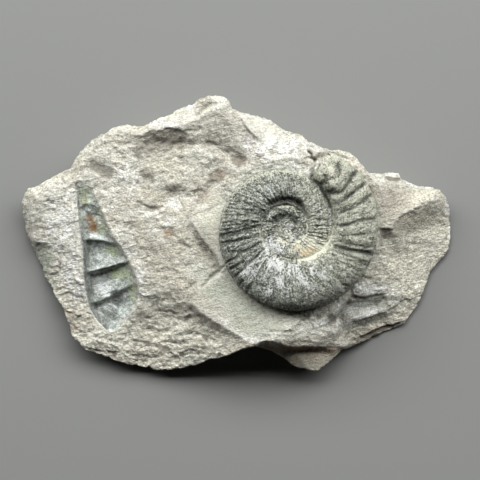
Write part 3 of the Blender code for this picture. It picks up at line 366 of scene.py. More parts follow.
# Ledges drawn from left to right. On the near side the face drops by the first number in millimetres,
# and comes back over the second in steps.
LEDGES = (
    (((141, 136.5), (146, 133), (153, 130.5), (160, 131), (165, 128.5), (175, 128.5), (181, 130.5),
      (187, 134), (192, 137.5)), 0.75, 6),
    (((202, 142.5), (207, 141), (212, 141.5), (218, 145)), 0.75, 4),
    (((198, 126), (201, 127.5), (204, 131)), 0.52, 3),
    (((223, 125), (230, 125)), 0.45, 3),
    (((212, 154), (216, 159), (221, 161), (228, 161)), 0.45, 4),
    (((218, 103), (226, 107), (233, 110), (240, 117), (246, 127), (252, 134), (260, 140)), 0.7, 6),
    (((137, 199.5), (143, 203.5), (150, 206.5), (157, 207), (166, 205.5)), 0.75, 4),
    (((177, 154.5), (183, 158), (190, 163)), 0.52, 4),
    (((154, 186), (163, 188), (171, 189), (182, 187)), 0.32, 8),
    (((149, 217), (156, 219), (164, 218)), 0.38, 3),
    (((174, 241), (182, 241), (188, 246), (195, 247)), 0.52, 4),
    (((149, 270), (160, 270), (165, 267), (175, 270), (183, 274)), 0.52, 4),
    (((160, 227), (168, 226), (175, 229)), 0.6, 5),
    (((191, 218), (197, 231), (205, 243), (213, 252), (218, 257), (222, 262)), 0.6, 6),
    (((190, 219), (197, 212.5), (207, 211), (215, 205), (222, 200)), 0.38, 4),
    (((191, 302), (198, 311), (206, 317), (215, 322), (225, 328), (235, 334), (245, 340), (254, 345.5)),
      0.38, 4),
    (((390, 227.5), (393, 224), (396, 221), (400, 217), (405, 213.5), (410, 211.5), (416, 208),
      (420, 205), (426, 201)), 0.9, 9),
    (((377, 229.5), (381, 227.5), (386, 229.5), (391, 227.5)), 0.4, 6),
    (((402, 243.5), (408, 242.5), (415, 243.5), (423, 243), (433, 241)), 0.3, 3),
    (((382, 176.5), (388, 177), (394, 177.5), (402, 178)), 0.9, 4),
    (((443, 213), (446, 216), (450, 217)), 0.45, 3),
    (((350, 294.5), (358, 296), (365, 297), (371, 295.5), (378, 293.5), (387, 294)), 1.1, 4),
    (((348, 322), (358, 321), (368, 318), (378, 314.5), (389, 311)), 0.52, 6),
    (((385, 312), (392, 308), (399, 305), (404, 300), (411, 296)), 0.6, 6),
    (((357, 340), (366, 334.5), (375, 330), (385, 326.5), (395, 324), (405, 322)), 1.0, 8),
    (((149, 311), (155, 310), (165, 310), (172, 311), (181, 315)), 0.6, 5),
    (((183, 319), (190, 317), (198, 315), (207, 317)), 0.68, 4),
    (((256, 345), (265, 341), (271, 341), (280, 344), (286, 347), (295, 348), (305, 346.5), (315, 347),
      (325, 346.5), (337, 347)), 0.9, 6),
    (((262, 334), (266, 335.5), (271, 334)), 0.38, 3),
    (((297, 313), (303, 315), (311, 316)), 0.6, 4),
    (((318, 327), (328, 323), (338, 318), (346, 311)), 0.5, 4),
    (((326, 315), (332, 313.5), (338, 318)), 0.52, 4),
    (((314, 316), (319, 314.5), (323, 318)), 0.52, 3),
    (((35, 243), (41, 243), (48, 246)), 0.4, 6),
    (((62, 309), (70, 312), (77, 316), (84, 316)), 0.68, 5),
    (((67, 322), (74, 324), (80, 323)), 0.45, 3),
    (((86, 348), (94, 349.5), (102, 350.5)), 0.6, 4),
    (((106, 351), (113, 352), (120, 351)), 0.83, 5),
    (((128, 342), (136, 340), (146, 343), (152, 341)), 0.45, 5),
    (((160, 344), (168, 341), (177, 343), (186, 340)), 0.45, 5),
    (((144, 330), (152, 327), (160, 330), (170, 327)), 0.45, 5),
    (((186, 333), (194, 331), (203, 335)), 0.52, 5),
    (((118, 340), (125, 338), (131, 333)), 0.45, 4),
    (((176, 356), (186, 353), (195, 354), (206, 350)), 0.45, 5),
    (((128, 356), (140, 354), (150, 357), (160, 355)), 0.52, 5),
    (((100, 133), (108, 136), (117, 135), (126, 138)), 0.38, 4),
    (((95, 146), (104, 145), (113, 141), (124, 143), (133, 139)), 0.38, 3),
    (((104, 156), (114, 152), (123, 153), (134, 148)), 0.38, 3),
    (((44, 212), (52, 208), (60, 210)), 0.38, 4),
    (((50, 268), (57, 266), (66, 270)), 0.38, 4),
    (((56, 289), (64, 287), (72, 290)), 0.45, 4),
    (((265, 157), (274, 153), (284, 155), (292, 152)), 0.3, 3),
    (((243, 143), (250, 141), (258, 145)), 0.38, 3),
    (((335, 155), (345, 157), (352, 163)), 0.3, 3),
)
# Blotches on the stone: plan place, half sizes in steps, tilt in degrees, strength
# White powder; the thin spots along the east rim are painted highlights
POWDER_AND_HIGHLIGHT = (
    (283, 150, 30, 13, 8, 1.0), (262, 152, 24, 12, 30, 0.8), (310, 146, 14, 7, 30, 0.6),
    (292, 171, 20, 5, 8, 0.9), (218, 192, 14, 7, -30, 0.4), (130, 178, 11, 22, 0, 0.8),
    (177, 202, 14, 8, -20, 0.8), (168, 221, 9, 6, 0, 0.9), (131, 250, 7, 12, -10, 1.0),
    (140, 274, 6, 13, -10, 1.0), (144, 294, 6, 7, 0, 1.0), (61, 222, 19, 36, 8, 1.0),
    (78, 290, 7, 16, 0, 1.0), (70, 262, 10, 30, 0, 1.0), (98, 236, 9, 4, 0, 0.7),
    (122, 232, 12, 16, 0, 0.6), (110, 200, 9, 14, 20, 0.6), (154, 232, 9, 9, 0, 0.4),
    (394, 296, 10, 9, -40, 1.1), (322, 323, 20, 6, -12, 0.9), (339, 308, 7, 10, -30, 0.9),
    (306, 332, 30, 5, 0, 0.6), (370, 288.5, 21, 5.5, 4, 1.6), (150, 215, 22, 6, 10, 0.6),
    (150, 122, 30, 4, 6, 0.8), (340, 156, 12, 4, 25, 0.5), (120, 182, 14, 18, 0, 0.6),
    (222, 100, 14, 5, 0, 0.4), (188, 112, 16, 6, -25, 0.6), (196, 205, 12, 14, -40, 0.5),
    (120, 150, 14, 8, 0, 0.3), (252, 339, 16, 5, 22, 0.9), (226, 322, 16, 4, 32, 0.7),
    (272, 333, 16, 4, 0, 0.6), (238, 304, 12, 4, 30, 0.5), (366, 315, 22, 3.8, -17, 1.7),
    (366, 307, 20, 8, -12, 1.5), (425, 270, 24, 30, 0, 0.35), (447, 203, 2.5, 7, -15, 1.8),
    (448, 211, 3, 4, 0, 1.6), (451, 234, 1.5, 12, 0, 1.3), (416, 184, 18, 2.5, 10, 1.4),
    (392, 174.5, 8, 2, 4, 0.8),
)
CREAMY = (
    (50, 172, 34, 9, -38, 1.0), (152, 118, 44, 7, -12, 0.7), (205, 110, 24, 5, -28, 0.5),
    (412, 262, 32, 34, 0, 1.2), (416, 201, 20, 12, -20, 0.6), (425, 236, 30, 20, 0, 1.0),
    (398, 292, 18, 16, -40, 1.2), (163, 366, 40, 5, 0, 0.9), (312, 361, 22, 10, 0, 0.9),
    (222, 353, 20, 4, -18, 0.9), (92, 352, 30, 7, 18, 0.8), (54, 292, 10, 26, -25, 0.7),
    (78, 338, 14, 10, 0, 0.6), (180, 338, 50, 20, 0, 0.7), (262, 126, 20, 7, 30, 0.3),
    (205, 215, 8, 22, -35, 0.8), (216, 200, 8, 14, -35, 0.6), (378, 275, 14, 12, 0, 0.7),
    (384, 320, 34, 8, -24, 0.8), (50, 215, 16, 22, 0, 0.3), (318, 336, 30, 6, 5, 0.5),
)
# Grey smudges, and painted shade on faces turned from the light: under the scoop's edge, below ledges, on the
# near slope
SMUDGE_AND_SHADE = (
    (171, 190, 10, 7, 0, 0.5), (139, 155, 7, 5, 20, 0.5), (132, 223, 5, 3, 0, 0.6),
    (165, 142, 25, 10, -2, 0.7), (186, 134, 9, 3, 25, 0.6), (158, 148, 16, 7, 0, 0.5),
    (239, 161, 8, 6, 0, 0.5), (218, 175, 9, 5, 0, 0.4), (200, 197, 8, 9, 20, 0.35),
    (252, 135, 9, 5, 30, 0.7), (418, 219, 30, 10, -22, 0.2), (390, 197, 18, 13, -20, 0.75),
    (388, 232, 7, 4, 0, 0.5), (200, 160, 10, 10, 0, 0.3), (330, 345, 40, 12, -10, 0.4),
    (170, 232, 7, 4, 0, 0.7), (53, 210, 9, 5, 0, 0.6), (205, 247, 12, 14, 0, 0.3),
    (42, 247, 9, 2.5, 15, 0.5), (322, 314, 6, 4, 0, 0.5), (335, 318, 6, 4, 10, 0.6),
    (225, 140, 18, 22, 0, 0.3), (150, 314, 26, 5, -5, 0.7), (200, 316, 12, 3, 5, 0.7),
    (218, 262, 4, 5, -40, 1.0), (188, 263, 6, 2, 0, 0.8), (184, 244, 8, 2, 15, 0.7),
    (165, 270, 14, 2, 5, 0.6), (155, 246, 12, 6, 0, 0.35), (148, 240, 4, 14, 0, 0.35),
    (113, 355, 6, 3, 10, 0.9), (94, 351, 7, 2, 10, 0.7), (68, 314, 6, 3, 15, 0.7),
    (74, 326, 4, 4, 0, 0.6), (48, 210, 10, 5, 0, 0.4), (225, 170, 14, 5, -35, 0.5),
    (391, 255, 4, 3, 0, 0.6), (212, 143, 8, 3, 10, 0.9), (222, 161, 8, 3, 10, 0.5),
    (265, 335, 6, 2, 0, 0.6), (244, 134, 4, 5, 30, 0.5), (183, 160, 8, 2, 35, 0.6),
    (306, 341, 20, 4, 0, 0.4), (362, 300, 12, 1.8, -6, 0.5),
)
GREENISH = (
    (226, 290, 26, 18, 30, 1.0), (246, 306, 26, 14, 25, 0.9), (262, 324, 30, 12, 12, 0.75),
    (210, 225, 10, 24, 15, 0.35), (43, 263, 7, 18, 20, 1.5), (37, 252, 6, 8, 20, 1.0),
    (366, 306, 20, 7, -14, 0.75), (268, 170, 18, 4, -14, 0.6), (331, 314, 16, 5, 0, 0.4),
    (300, 313, 22, 4, 0, 0.5), (414, 189, 12, 1.5, 6, 0.8), (52, 278, 6, 6, 0, 0.5),
    (244, 174, 12, 5, -40, 0.5), (222, 200, 5, 16, 25, 0.4), (235, 268, 8, 10, 30, 0.7),
)
RUSTY = (
    (169, 234, 5, 4, 0, 0.6), (386, 232, 5, 3, 0, 0.4), (219, 175, 7, 5, 0, 0.35),
    (74, 327, 4, 3, 0, 0.7), (190, 210, 10, 12, 0, 0.1), (300, 356, 30, 12, 0, 0.4),
    (296, 349, 40, 4, 2, 1.2), (206, 196, 10, 6, 0, 0.3), (241, 162, 7, 5, 0, 0.25),
    (68, 314, 5, 3, 0, 0.4), (375, 332, 16, 4, -20, 0.5), (275, 347, 16, 4, 0, 0.5),
    (113, 355, 6, 3, 0, 0.4), (396, 203, 34, 20, -20, 0.16), (390, 188, 14, 7, 0, 0.14),
    (418, 222, 30, 12, -20, 0.16), (415, 262, 34, 30, 0, 0.06),
)
MOULD_GREEN = (
    (86, 192, 8, 12, 0, 1.2), (81, 215, 3, 10, 0, 0.6), (105, 226, 7, 9, 0, 1.6),
    (100, 218, 4, 4, 0, 0.9), (113, 252, 9, 7, 20, 1.1), (121, 273, 11, 7, -15, 1.6),
    (134, 292, 5, 9, 0, 1.4), (99, 208, 4, 9, 30, 0.8), (106, 316, 8, 5, 0, 0.4),
)
MOULD_RUST = ((89.5, 219, 3.6, 4.5, -20, 1.0), (93, 226.5, 4.6, 5, 0, 1.2), (84, 202, 3, 4, 0, 0.3))
# Painted shade in the snail mould, under its ridges and in its dark lens, with one dark brown stain above the
# rust
MOULD_SHADE_AND_STAIN = (
    (85, 204.5, 6, 1.2, -12, 1.1), (93, 206, 5, 1.2, 22, 1.0), (94, 210, 9, 3.4, 22, 0.8),
    (88, 212, 6, 1.3, 24, 1.3), (97, 214.5, 7, 1.3, 15, 1.4), (84.5, 208, 2, 4, 0, 0.9),
    (90, 214.5, 3, 2.5, 0, 1.2), (96, 241, 14, 1.4, 4, 0.8), (87, 250, 4, 7, 0, 0.8),
    (93, 246, 5, 3, 0, 0.6), (104, 268.5, 18, 1.3, -12, 1.2), (121, 263.5, 8, 1.4, -14, 1.1),
    (98, 298, 8, 1.2, -8, 0.6), (114, 292, 5, 2.2, -28, 1.3), (126, 286, 7, 1.0, -24, 0.8),
    (119, 300, 8, 6, -30, 1.2), (128, 296, 4, 6, 20, 0.7), (84.5, 262, 2, 22, -3, 1.1),
    (86, 290, 2, 16, -6, 0.9), (95, 306, 3, 9, -25, 1.0), (79, 205, 1.4, 20, -3, 0.9),
    (104, 322, 12, 1.4, 45, 0.8), (114, 329, 5, 1.6, 0, 1.0), (103, 313, 6, 1.0, 55, 1.1),
    (98, 316, 7, 1.1, 60, 1.1), (109, 312, 4, 1.0, 50, 0.9), (97, 220, 1.6, 6, 0, 0.6),
    (108, 283, 2, 2, 0, 0.6), (110, 278, 1.6, 2.4, 0, 0.6), (99, 280, 1.5, 1.5, 0, 0.6),
    (93, 284, 6, 1.2, 20, 0.5), (107, 320, 5, 1.2, 40, 0.9), (97, 319, 8, 4, 55, 0.9),
    (105, 327, 5, 2.5, 35, 1.1), (117, 312, 7, 3, -30, 0.6), (85, 194, 7, 9, 0, 0.62),
    (89, 215.5, 4, 3, 20, 1.4), (131, 303, 3, 6, 20, 0.6), (92, 250, 12, 8, 0, 0.45),
    (108, 317, 15, 12, -40, 0.9), (95, 309, 9, 5, 20, 0.7), (118, 303, 9, 9, -30, 0.3),
    (90, 245, 3, 4, 0, 0.8),
)
MOULD_PALE = (
    (93, 235, 8, 3, 0, 0.75), (88, 233, 3, 3, 0, 0.5), (104, 257, 12, 4, -8, 0.8),
    (118, 256, 6, 4, -20, 0.5), (103, 287, 13, 6, -18, 1.2), (97, 279, 10, 5, -8, 0.8),
    (116, 281, 9, 4, -10, 0.7), (113, 324, 6, 1.6, -42, 0.8), (124, 315.5, 9, 1.5, -48, 0.9),
    (107, 226, 4, 10, -25, 0.9), (133, 306, 5, 2, -60, 0.8), (105, 308, 9, 1.2, 32, 1.1),
    (109, 304, 6, 1.0, 32, 0.9), (101, 314, 7, 1.2, 35, 1.0), (95, 313, 1.6, 8, -30, 0.9),
    (99, 222, 2.4, 8, -10, 0.8), (110, 261, 14, 1.4, -14, 0.8), (108, 295, 8, 1.2, -20, 0.9),
    (92, 320, 2, 9, -30, 0.8), (115, 307, 5, 1.0, 40, 1.0), (104, 244, 10, 2, 5, 0.5),
    (108, 318, 6, 1.0, 45, 1.0), (121, 294, 4, 1.0, -40, 0.6),
)
# Angles of the grooves between the ribs, in degrees, from the broken mouth back, and then one every RIB_TURN
MOUTH_GROOVES = (66, 53, 39.5, 27.5, 19, 10.5, 3, -6, -13, -19.5)
RIB_TURN = 6.95
GROOVE_BOX = 40  # steps from a groove's middle in which it is worked out
GROOVE_START = -780  # angle of the spiral from which on they are cut
# Grooves with their own places: the line of each, its width in steps and its depth in millimetres
# Their dip also darkens the shell as painted shade; in the coil's dark crescent that is partly dirt
SHELL_GROOVES = (
    (((327, 192), (333, 194), (340, 193), (345.5, 188), (349, 182), (353, 175), (358, 170)), 2.0, 1.0),
    (((337, 206), (344, 200.5), (352, 194), (358, 188), (364, 183), (368, 180)), 1.8, 0.8),
    (((339, 214), (347, 211), (354, 208), (360, 203.5), (366, 198), (373, 192)), 1.7, 0.8),
    (((340, 226.5), (348, 225), (356, 221.5), (364, 219.5), (374, 218.5)), 1.7, 0.65),
    (((337, 236.5), (346, 236), (356, 235.5), (363, 234.5)), 1.5, 0.6),
    (((356, 237), (366, 238.5), (377, 240.5)), 1.4, 0.4),
    (((337, 242), (347, 243.5), (356, 246), (366, 247), (377, 247)), 1.7, 0.75),
    (((334, 247), (343, 249.5), (350, 251), (358, 251.5), (366, 253), (376, 255)), 2.2, 1.2),
    (((333, 256), (345, 260), (358, 263), (370, 266)), 1.6, 0.35),
    (((219, 236), (230, 234), (240, 231.5), (250, 229), (260, 226)), 2.0, 1.0),
    (((220, 243.5), (230, 241.5), (240, 240.5), (252, 238.5), (258, 236)), 1.5, 0.75),
    (((234, 252), (247, 251), (253, 248), (258, 244), (262, 242)), 1.5, 0.8),
    (((247, 264), (256, 257), (261, 251), (264, 249)), 1.4, 0.7),
    (((247, 213), (256, 215), (264, 217)), 1.4, 0.65),
    (((253, 210), (264, 212.5)), 1.3, 0.45),
    (((228, 226), (243, 225), (254, 223)), 1.6, 0.6),
    (((337, 166), (339.5, 171), (338, 178)), 1.6, 0.8),
    (((323, 167), (323.5, 172), (325, 178)), 1.2, 0.4),
    (((314.5, 160), (314, 166), (312.5, 171), (310.5, 177)), 1.1, 1.3),
    (((309, 175.5), (311, 178.5), (315, 181), (320, 185.5), (322.5, 190.5), (325, 195.5), (328, 201),
      (330, 207)), 1.1, 1.9),
    (((270, 204), (276, 201.5), (282, 199.8), (288, 199.2), (294, 200.5), (299, 203.5)), 2.6, 1.5),
    (((297, 202), (302, 207), (305, 213), (307, 219)), 1.3, 0.8),
    (((274, 219.5), (280, 216.5), (288, 216), (295, 219)), 2.8, 1.3),
    (((275, 223), (281, 220.5), (289, 220), (296, 223)), 2.2, 0.7),
    (((277, 234), (284, 238), (293, 236)), 1.4, 0.4),
    (((316, 220), (323, 219.5), (329, 221.5)), 1.2, 0.5),
    (((317, 226.5), (328, 226)), 1.1, 0.45),
    (((308, 232.5), (321, 234.5)), 1.1, 0.45),
    (((307, 236), (316, 237.5), (325, 240)), 1.2, 0.5),
    (((317, 243), (323, 246)), 1.2, 0.5),
    (((265, 222), (274, 222)), 1.1, 0.45),
    (((268, 232), (271, 230), (275, 227)), 1.1, 0.5),
    (((268, 236), (273, 233.5), (277, 230)), 1.1, 0.5),
    (((225, 263), (232, 259.5), (240, 257)), 1.5, 0.6),
    (((228, 270), (235, 266), (243, 262)), 1.4, 0.5),
    (((232, 278), (239, 273), (246, 269)), 1.4, 0.55),
    (((238, 286), (244, 280), (250, 276)), 1.4, 0.45),
    (((246, 294), (251, 287), (256, 282)), 1.5, 0.45),
    (((272, 285), (274, 292), (273, 300)), 1.6, 0.45),
    (((336, 277), (342, 284), (346, 292)), 1.6, 0.35),
    (((300, 281), (303, 290), (303, 300)), 1.6, 0.4),
    (((256, 272), (259, 278), (261, 286)), 2.6, 0.4),
)
# Spots on the shell: plan place, half sizes in steps, tilt in degrees, strength
PALE_SPOTS = (
    (250, 270, 6, 7, 20, 1.3), (267, 290, 9, 6, 0, 0.8), (290, 286, 7, 8, 0, 0.4),
    (268, 216, 6, 9, 0, 0.3), (272, 248, 12, 10, 30, 1.0), (295, 236, 10, 6, 0, 0.5),
    (266, 290, 6, 6, 0, 0.8), (259, 256, 3, 6, -35, 0.7), (299, 272, 3, 9, 0, 0.9),
    (312, 268, 3, 8, -30, 0.7), (276, 250, 9, 7, 20, 0.8), (288, 227, 5, 2.8, 10, 1.2),
    (256, 192, 7, 3, 35, 0.5), (343, 273, 4, 4, 0, 0.3), (337, 218, 3, 8, 0, 0.4),
    (277, 262, 8, 6, 0, 0.9), (264, 214, 4, 8, 30, 0.4), (282, 272, 4, 9, 15, 0.8),
    (262, 224, 2, 9, 0, 0.8), (264, 243, 2.2, 8, -20, 0.9), (330, 222, 2, 16, 0, 0.7),
    (318, 208, 8, 5, 50, 0.4), (283, 186, 6, 6, 0, 0.35), (232, 245, 7, 2, -5, 0.4),
    (245, 233, 9, 2, -10, 0.35),
)
AMBER_SPOTS = (
    (306, 251, 10, 5, -15, 1.3), (299, 248, 6, 4, 20, 0.8), (315, 247, 6, 4, -30, 0.6),
    (291, 229, 7, 3, 0, 0.3),
)
CREAM_SPOTS = (
    (330.5, 171.5, 4.5, 5, 10, 1.1), (336, 154, 16, 4, 12, 1.0), (352, 160, 8, 5, 40, 0.7),
    (368, 195, 5, 14, -15, 0.4), (323, 250, 7, 5, -40, 1.0), (310, 258, 11, 2.4, -8, 1.1),
    (284, 241, 9, 1.6, 30, 1.0), (299, 240, 8, 1.8, -35, 1.0), (329, 238, 3, 9, 0, 0.9),
    (306.5, 222, 1.3, 13, -6, 0.9), (286, 206.5, 13, 1.3, -3, 0.7), (308, 238, 8, 3, 10, 0.5),
    (325, 246, 5, 8, 20, 0.9), (290, 236, 8, 3, 20, 0.5), (297, 244, 9, 4, 10, 0.6),
    (312, 247, 19, 10, -12, 1.35), (281, 241, 8, 1.6, 35, 0.8), (303, 238, 6, 1.6, -45, 0.8),
    (342, 181, 6, 4, 0, 0.35),
)
# How beige the shell is, against the angle of the spiral
BEIGE_SHARE = (
    (-560, 0.3), (-420, 0.35), (-372, 0.8), (-350, 0.6), (-300, 0.55), (-255, 0.2), (-160, 0.05),
    (-120, 0.1), (-70, 0.25), (-35, 0.6), (0, 0.85), (45, 0.9), (66, 1.0),
)
# Share of the last whorl's width that its pale outer rim takes, against the angle round the shell
RIM_WIDTH = (
    (0, 0.08), (40, 0.12), (60, 0.2), (80, 0.16), (100, 0.12), (115, 0.2), (135, 0.14), (150, 0.07),
    (200, 0.05), (230, 0.0), (330, 0.0), (360, 0.08),
)
# How plain the cream seam between two whorls is, and how wide, against the angle round the shell
SEAM_SHOWN = (
    (0, 0.6), (20, 0.3), (40, 0.0), (150, 0.0), (168, 0.7), (200, 0.9), (225, 0.5), (250, 0.5),
    (280, 0.8), (300, 1.0), (335, 1.0), (360, 0.6),
)
SEAM_WIDTH = ((0, 0.2), (150, 0), (200, 0.3), (270, 0.2), (295, 1.0), (330, 1.0), (350, 0.3), (360, 0.2))
# Lumps on the shell's broken end: plan place, half sizes in steps, tilt in degrees, height in millimetres
SHELL_LUMPS = (
    (332.5, 171, 4, 6, 10, 1.2), (322.5, 172, 4.5, 5, 0, 1.0), (346, 176, 5, 6, -35, 0.7),
    (333, 184, 7, 3.5, -25, 0.9), (345, 162, 8, 4, 20, 0.3),
)
# How strong the ribs stand against the angle of the spiral, from 1 for fresh to 0 for worn flat
RIB_STRENGTH = (
    (-1104, 0.1), (-720, 0.15), (-560, 0.3), (-530, 0.5), (-480, 0.15), (-430, 0.3), (-400, 0.5),
    (-372, 0.6), (-345, 0.35), (-318, 0.12), (-290, 0.12), (-262, 0.25), (-240, 0.35), (-215, 0.5),
    (-195, 0.65), (-182, 0.55), (-168, 0.4), (-150, 0.45), (-135, 0.5), (-115, 0.25), (-90, 0.12),
    (-60, 0.15), (-40, 0.3), (-20, 0.3), (0, 0.3), (50, 0.3), (66, 0.0),
)
# fmt: on


# Places and distances on the plan grid


def plan(places):
    """Plan places as metres from the origin: x less the middle's, and the middle's y less y, times a step."""
    return (np.asarray(places, float) - PLAN_MIDDLE) * (STEP, -STEP)


def with_heights(places, heights=0.0):
    """Plan places with their heights, in plan steps too, as a third number."""
    third = np.broadcast_to(heights, places.shape[:-1])
    return np.concatenate([places, third[..., None]], axis=-1)


def smooth_step(values, low, high):
    """0 below low, 1 above high, and 3t^2 - 2t^3 between."""
    t = np.clip((values - low) / (high - low), 0, 1)
    return t * t * (3 - 2 * t)


def inside(polygon, places):
    """Whether each place is inside the polygon: a ray to the right crosses an odd number of its sides."""
    a = np.array(polygon, float)[:, :2]
    b = np.roll(a, -1, axis=0)
    x, y = places[..., 0], places[..., 1]
    within = np.zeros(x.shape, bool)
    for (ax, ay), (bx, by) in zip(a, b):
        if ay != by:
            within ^= ((ay > y) != (by > y)) & (x < ax + (y - ay) * (bx - ax) / (by - ay))
    return within


def distance(line, places, closed=False):
    """Plan steps from each place to the nearest stretch of the line."""
    a = np.array(line, float)[:, :2]
    b = np.roll(a, -1, axis=0) if closed else a[1:]
    nearest = np.full(places.shape[:-1], 1e9)
    for start, end in zip(a, b):
        along = np.clip((places - start) @ (end - start) / max(((end - start) ** 2).sum(), 1e-9), 0, 1)
        gap = places - start - along[..., None] * (end - start)
        nearest = np.minimum(nearest, np.linalg.norm(gap, axis=-1))
    return nearest


def ledge_drop(line, drop, reach, places):
    """How far a ledge lowers each place: drop * exp(-gap / reach) on its near side, fading to its ends."""
    line = np.array(line, float)
    size = np.linalg.norm(np.diff(line, axis=0), axis=1)
    run = np.concatenate([[0], np.cumsum(size)])
    nearest, side, share = (np.full(places.shape[:-1], value) for value in (1e9, 0.0, 0.0))
    for k, start in enumerate(line[:-1]):
        way = (line[k + 1] - start) / size[k]
        offset = places - start
        reached = np.clip(offset @ way, 0, size[k])
        gap = np.linalg.norm(offset - reached[..., None] * way, axis=-1)
        closer = gap < nearest
        nearest[closer] = gap[closer]
        side[closer] = (way[0] * offset[..., 1] - way[1] * offset[..., 0])[closer]
        share[closer] = (run[k] + reached)[closer] / run[-1]
    away = np.where(side > 0, nearest, -nearest)
    ends = smooth_step(share, 0, 0.2) * (1 - smooth_step(share, 0.8, 1))
    return drop * ends * smooth_step(away, -0.6, 0.7) * np.exp(-np.maximum(away, 0) / reach)


def blotches(places, patches, ragged=0.0):
    """Soft ovals, of which the strongest wins: each is exp(-d^2), d being the share of its half sizes."""
    strongest = np.zeros(places.shape[:-1])
    for x, y, half_x, half_y, tilt, strength in patches:
        turn = math.radians(tilt)
        dx, dy = places[..., 0] - x, places[..., 1] - y
        along, across = dx * math.cos(turn) + dy * math.sin(turn), dy * math.cos(turn) - dx * math.sin(turn)
        share = (along / half_x) ** 2 + (across / half_y) ** 2
        strongest = np.maximum(strongest, strength * np.exp(-np.maximum(share + ragged, 0)))
    return strongest


# Noise

SLOPES = np.random.default_rng(5).normal(size=(256, 3))
SLOPES /= np.linalg.norm(SLOPES, axis=1)[:, None]
DRAWS = np.random.default_rng(6).random((4096, 5))
HASH_PRIMES = np.array((73856093, 19349663, 83492791))
HASH_MIXER = 2246822519
NOISE_GAIN = 1.6  # makes the noise run from about -1 to 1
CHIP_TILT = 1.6  # how steeply chips lean


def hashed(cells, salt, first, second):
    """A whole number for each cell: its numbers times large primes, joined by exclusive or, and mixed."""
    mixed = np.bitwise_xor.reduce(cells * HASH_PRIMES[: cells.shape[-1]], axis=-1) ^ salt
    mixed = ((mixed ^ (mixed >> first)) * HASH_MIXER) & 0xFFFFFFFF
    return mixed ^ (mixed >> second)


def noise(points, seed=0):
    """Gradient noise from a slope for each whole-number place.

    The eight slopes about a point blend by 6t^5 - 15t^4 + 10t^3, t being its share between two places.
    """
    cell = np.floor(points).astype(np.int64)
    local = points - cell
    ease = local**3 * (local * (local * 6 - 15) + 10)
    total = np.zeros(points.shape[:-1])
    for corner in product((0, 1), repeat=3):
        slope = SLOPES[hashed(cell + corner, seed * 40503 + 977, 15, 13) % len(SLOPES)]
        weight = np.where(np.array(corner, bool), ease, 1 - ease).prod(axis=-1)
        total += weight * (slope * (local - corner)).sum(axis=-1)
    return total * NOISE_GAIN


def layered(points, size, layers=4, gain=0.5, seed=0):
    """Noise of the given size in steps, with finer layers on it: half the size and gain times the height."""
    points = points / np.asarray(size, float)
    return sum(noise(points * 2**k + 17.3 * k, seed + k) * gain**k for k in range(layers))


def terraces(values, ledge=0.3):
    """Turns slopes into steps: the whole part of each value, and a short rise over its last ledge share."""
    whole = np.floor(values)
    return whole + smooth_step(values - whole, 1 - ledge, 1)


def chipped(points, size, crisp=26.0, seed=0):
    """Chips of stone: each random place rules the points round it, with a level and a slope of its own.

    The chips blend by exp(-crisp d^2), d being a point's distance from each place in sizes.
    """
    spots = points[..., :2] / np.asarray(size, float)
    cell = np.floor(spots).astype(np.int64)
    total, weights = np.zeros(spots.shape[:-1]), np.zeros(spots.shape[:-1])
    for step in product((-1, 0, 1), repeat=2):
        at = cell + step
        drawn = DRAWS[hashed(at, seed * 83492791 + 12345, 13, 15) % len(DRAWS)]
        offset = spots - at - 0.1 - 0.8 * drawn[..., :2]
        weight = np.exp(-crisp * (offset**2).sum(axis=-1))
        level, tilt = drawn[..., 2] - 0.5, drawn[..., 3:] - 0.5
        total += weight * (level + (offset * tilt).sum(axis=-1) * CHIP_TILT)
        weights += weight
    return total / np.maximum(weights, 1e-12)


# The stone


class UpperFace:
    """The stone's upper face as flat facets: triangles between the rim, the face lines and single places."""

    places_at_once = 4000

    def __init__(self):
        points, edges = [], []
        for line, closed in [(RIM, True)] + [(line, False) for line in FACE_LINES.values()]:
            first = len(points)
            points += line
            edges += [(first + k, first + k + 1) for k in range(len(line) - 1)]
            edges += [(len(points) - 1, first)] if closed else []
        points += FACE_PLACES
        found = delaunay_2d_cdt([Vector(p[:2]) for p in points], edges, [], 0, 1e-4, True)
        corners, triangles, origins = found[0], found[2], found[3]
        self.corners = np.array([tuple(corner) for corner in corners])
        self.triangles = np.array([face for face in triangles if len(face) == 3])
        self.heights = np.array([points[origin[0]][2] for origin in origins], float)

    def heights_at(self, places):
        """Each place's height: the corners' heights weighted by the place's three shares of its triangle."""
        a, b, c = (self.corners[self.triangles[:, k]] for k in range(3))
        area = (b[:, 0] - a[:, 0]) * (c[:, 1] - a[:, 1]) - (b[:, 1] - a[:, 1]) * (c[:, 0] - a[:, 0])
        made = []
        for some in np.array_split(places, max(1, len(places) // self.places_at_once)):
            x, y = some[:, 0:1], some[:, 1:2]
            share_b = ((x - a[:, 0]) * (c[:, 1] - a[:, 1]) - (y - a[:, 1]) * (c[:, 0] - a[:, 0])) / area
            share_c = ((b[:, 0] - a[:, 0]) * (y - a[:, 1]) - (b[:, 1] - a[:, 1]) * (x - a[:, 0])) / area
            shares = np.stack([1 - share_b - share_c, share_b, share_c], axis=-1)
            best = shares.min(axis=-1).argmax(axis=1)
            picked = np.clip(shares[np.arange(len(some)), best], 0, 1)
            made.append((self.heights[self.triangles[best]] * picked).sum(axis=1) / picked.sum(axis=1))
        return np.concatenate(made)


def line_x(line, y):
    """The x of a line that runs down the plan, at each y, straight between its places."""
    line = np.array(line, float)
    return np.interp(y, line[:, 1], line[:, 0])


def line_y(line, x):
    """The y of a line that runs to the right, at each x, straight between its places."""
    line = np.array(line, float)
    return np.interp(x, line[:, 0], line[:, 1])


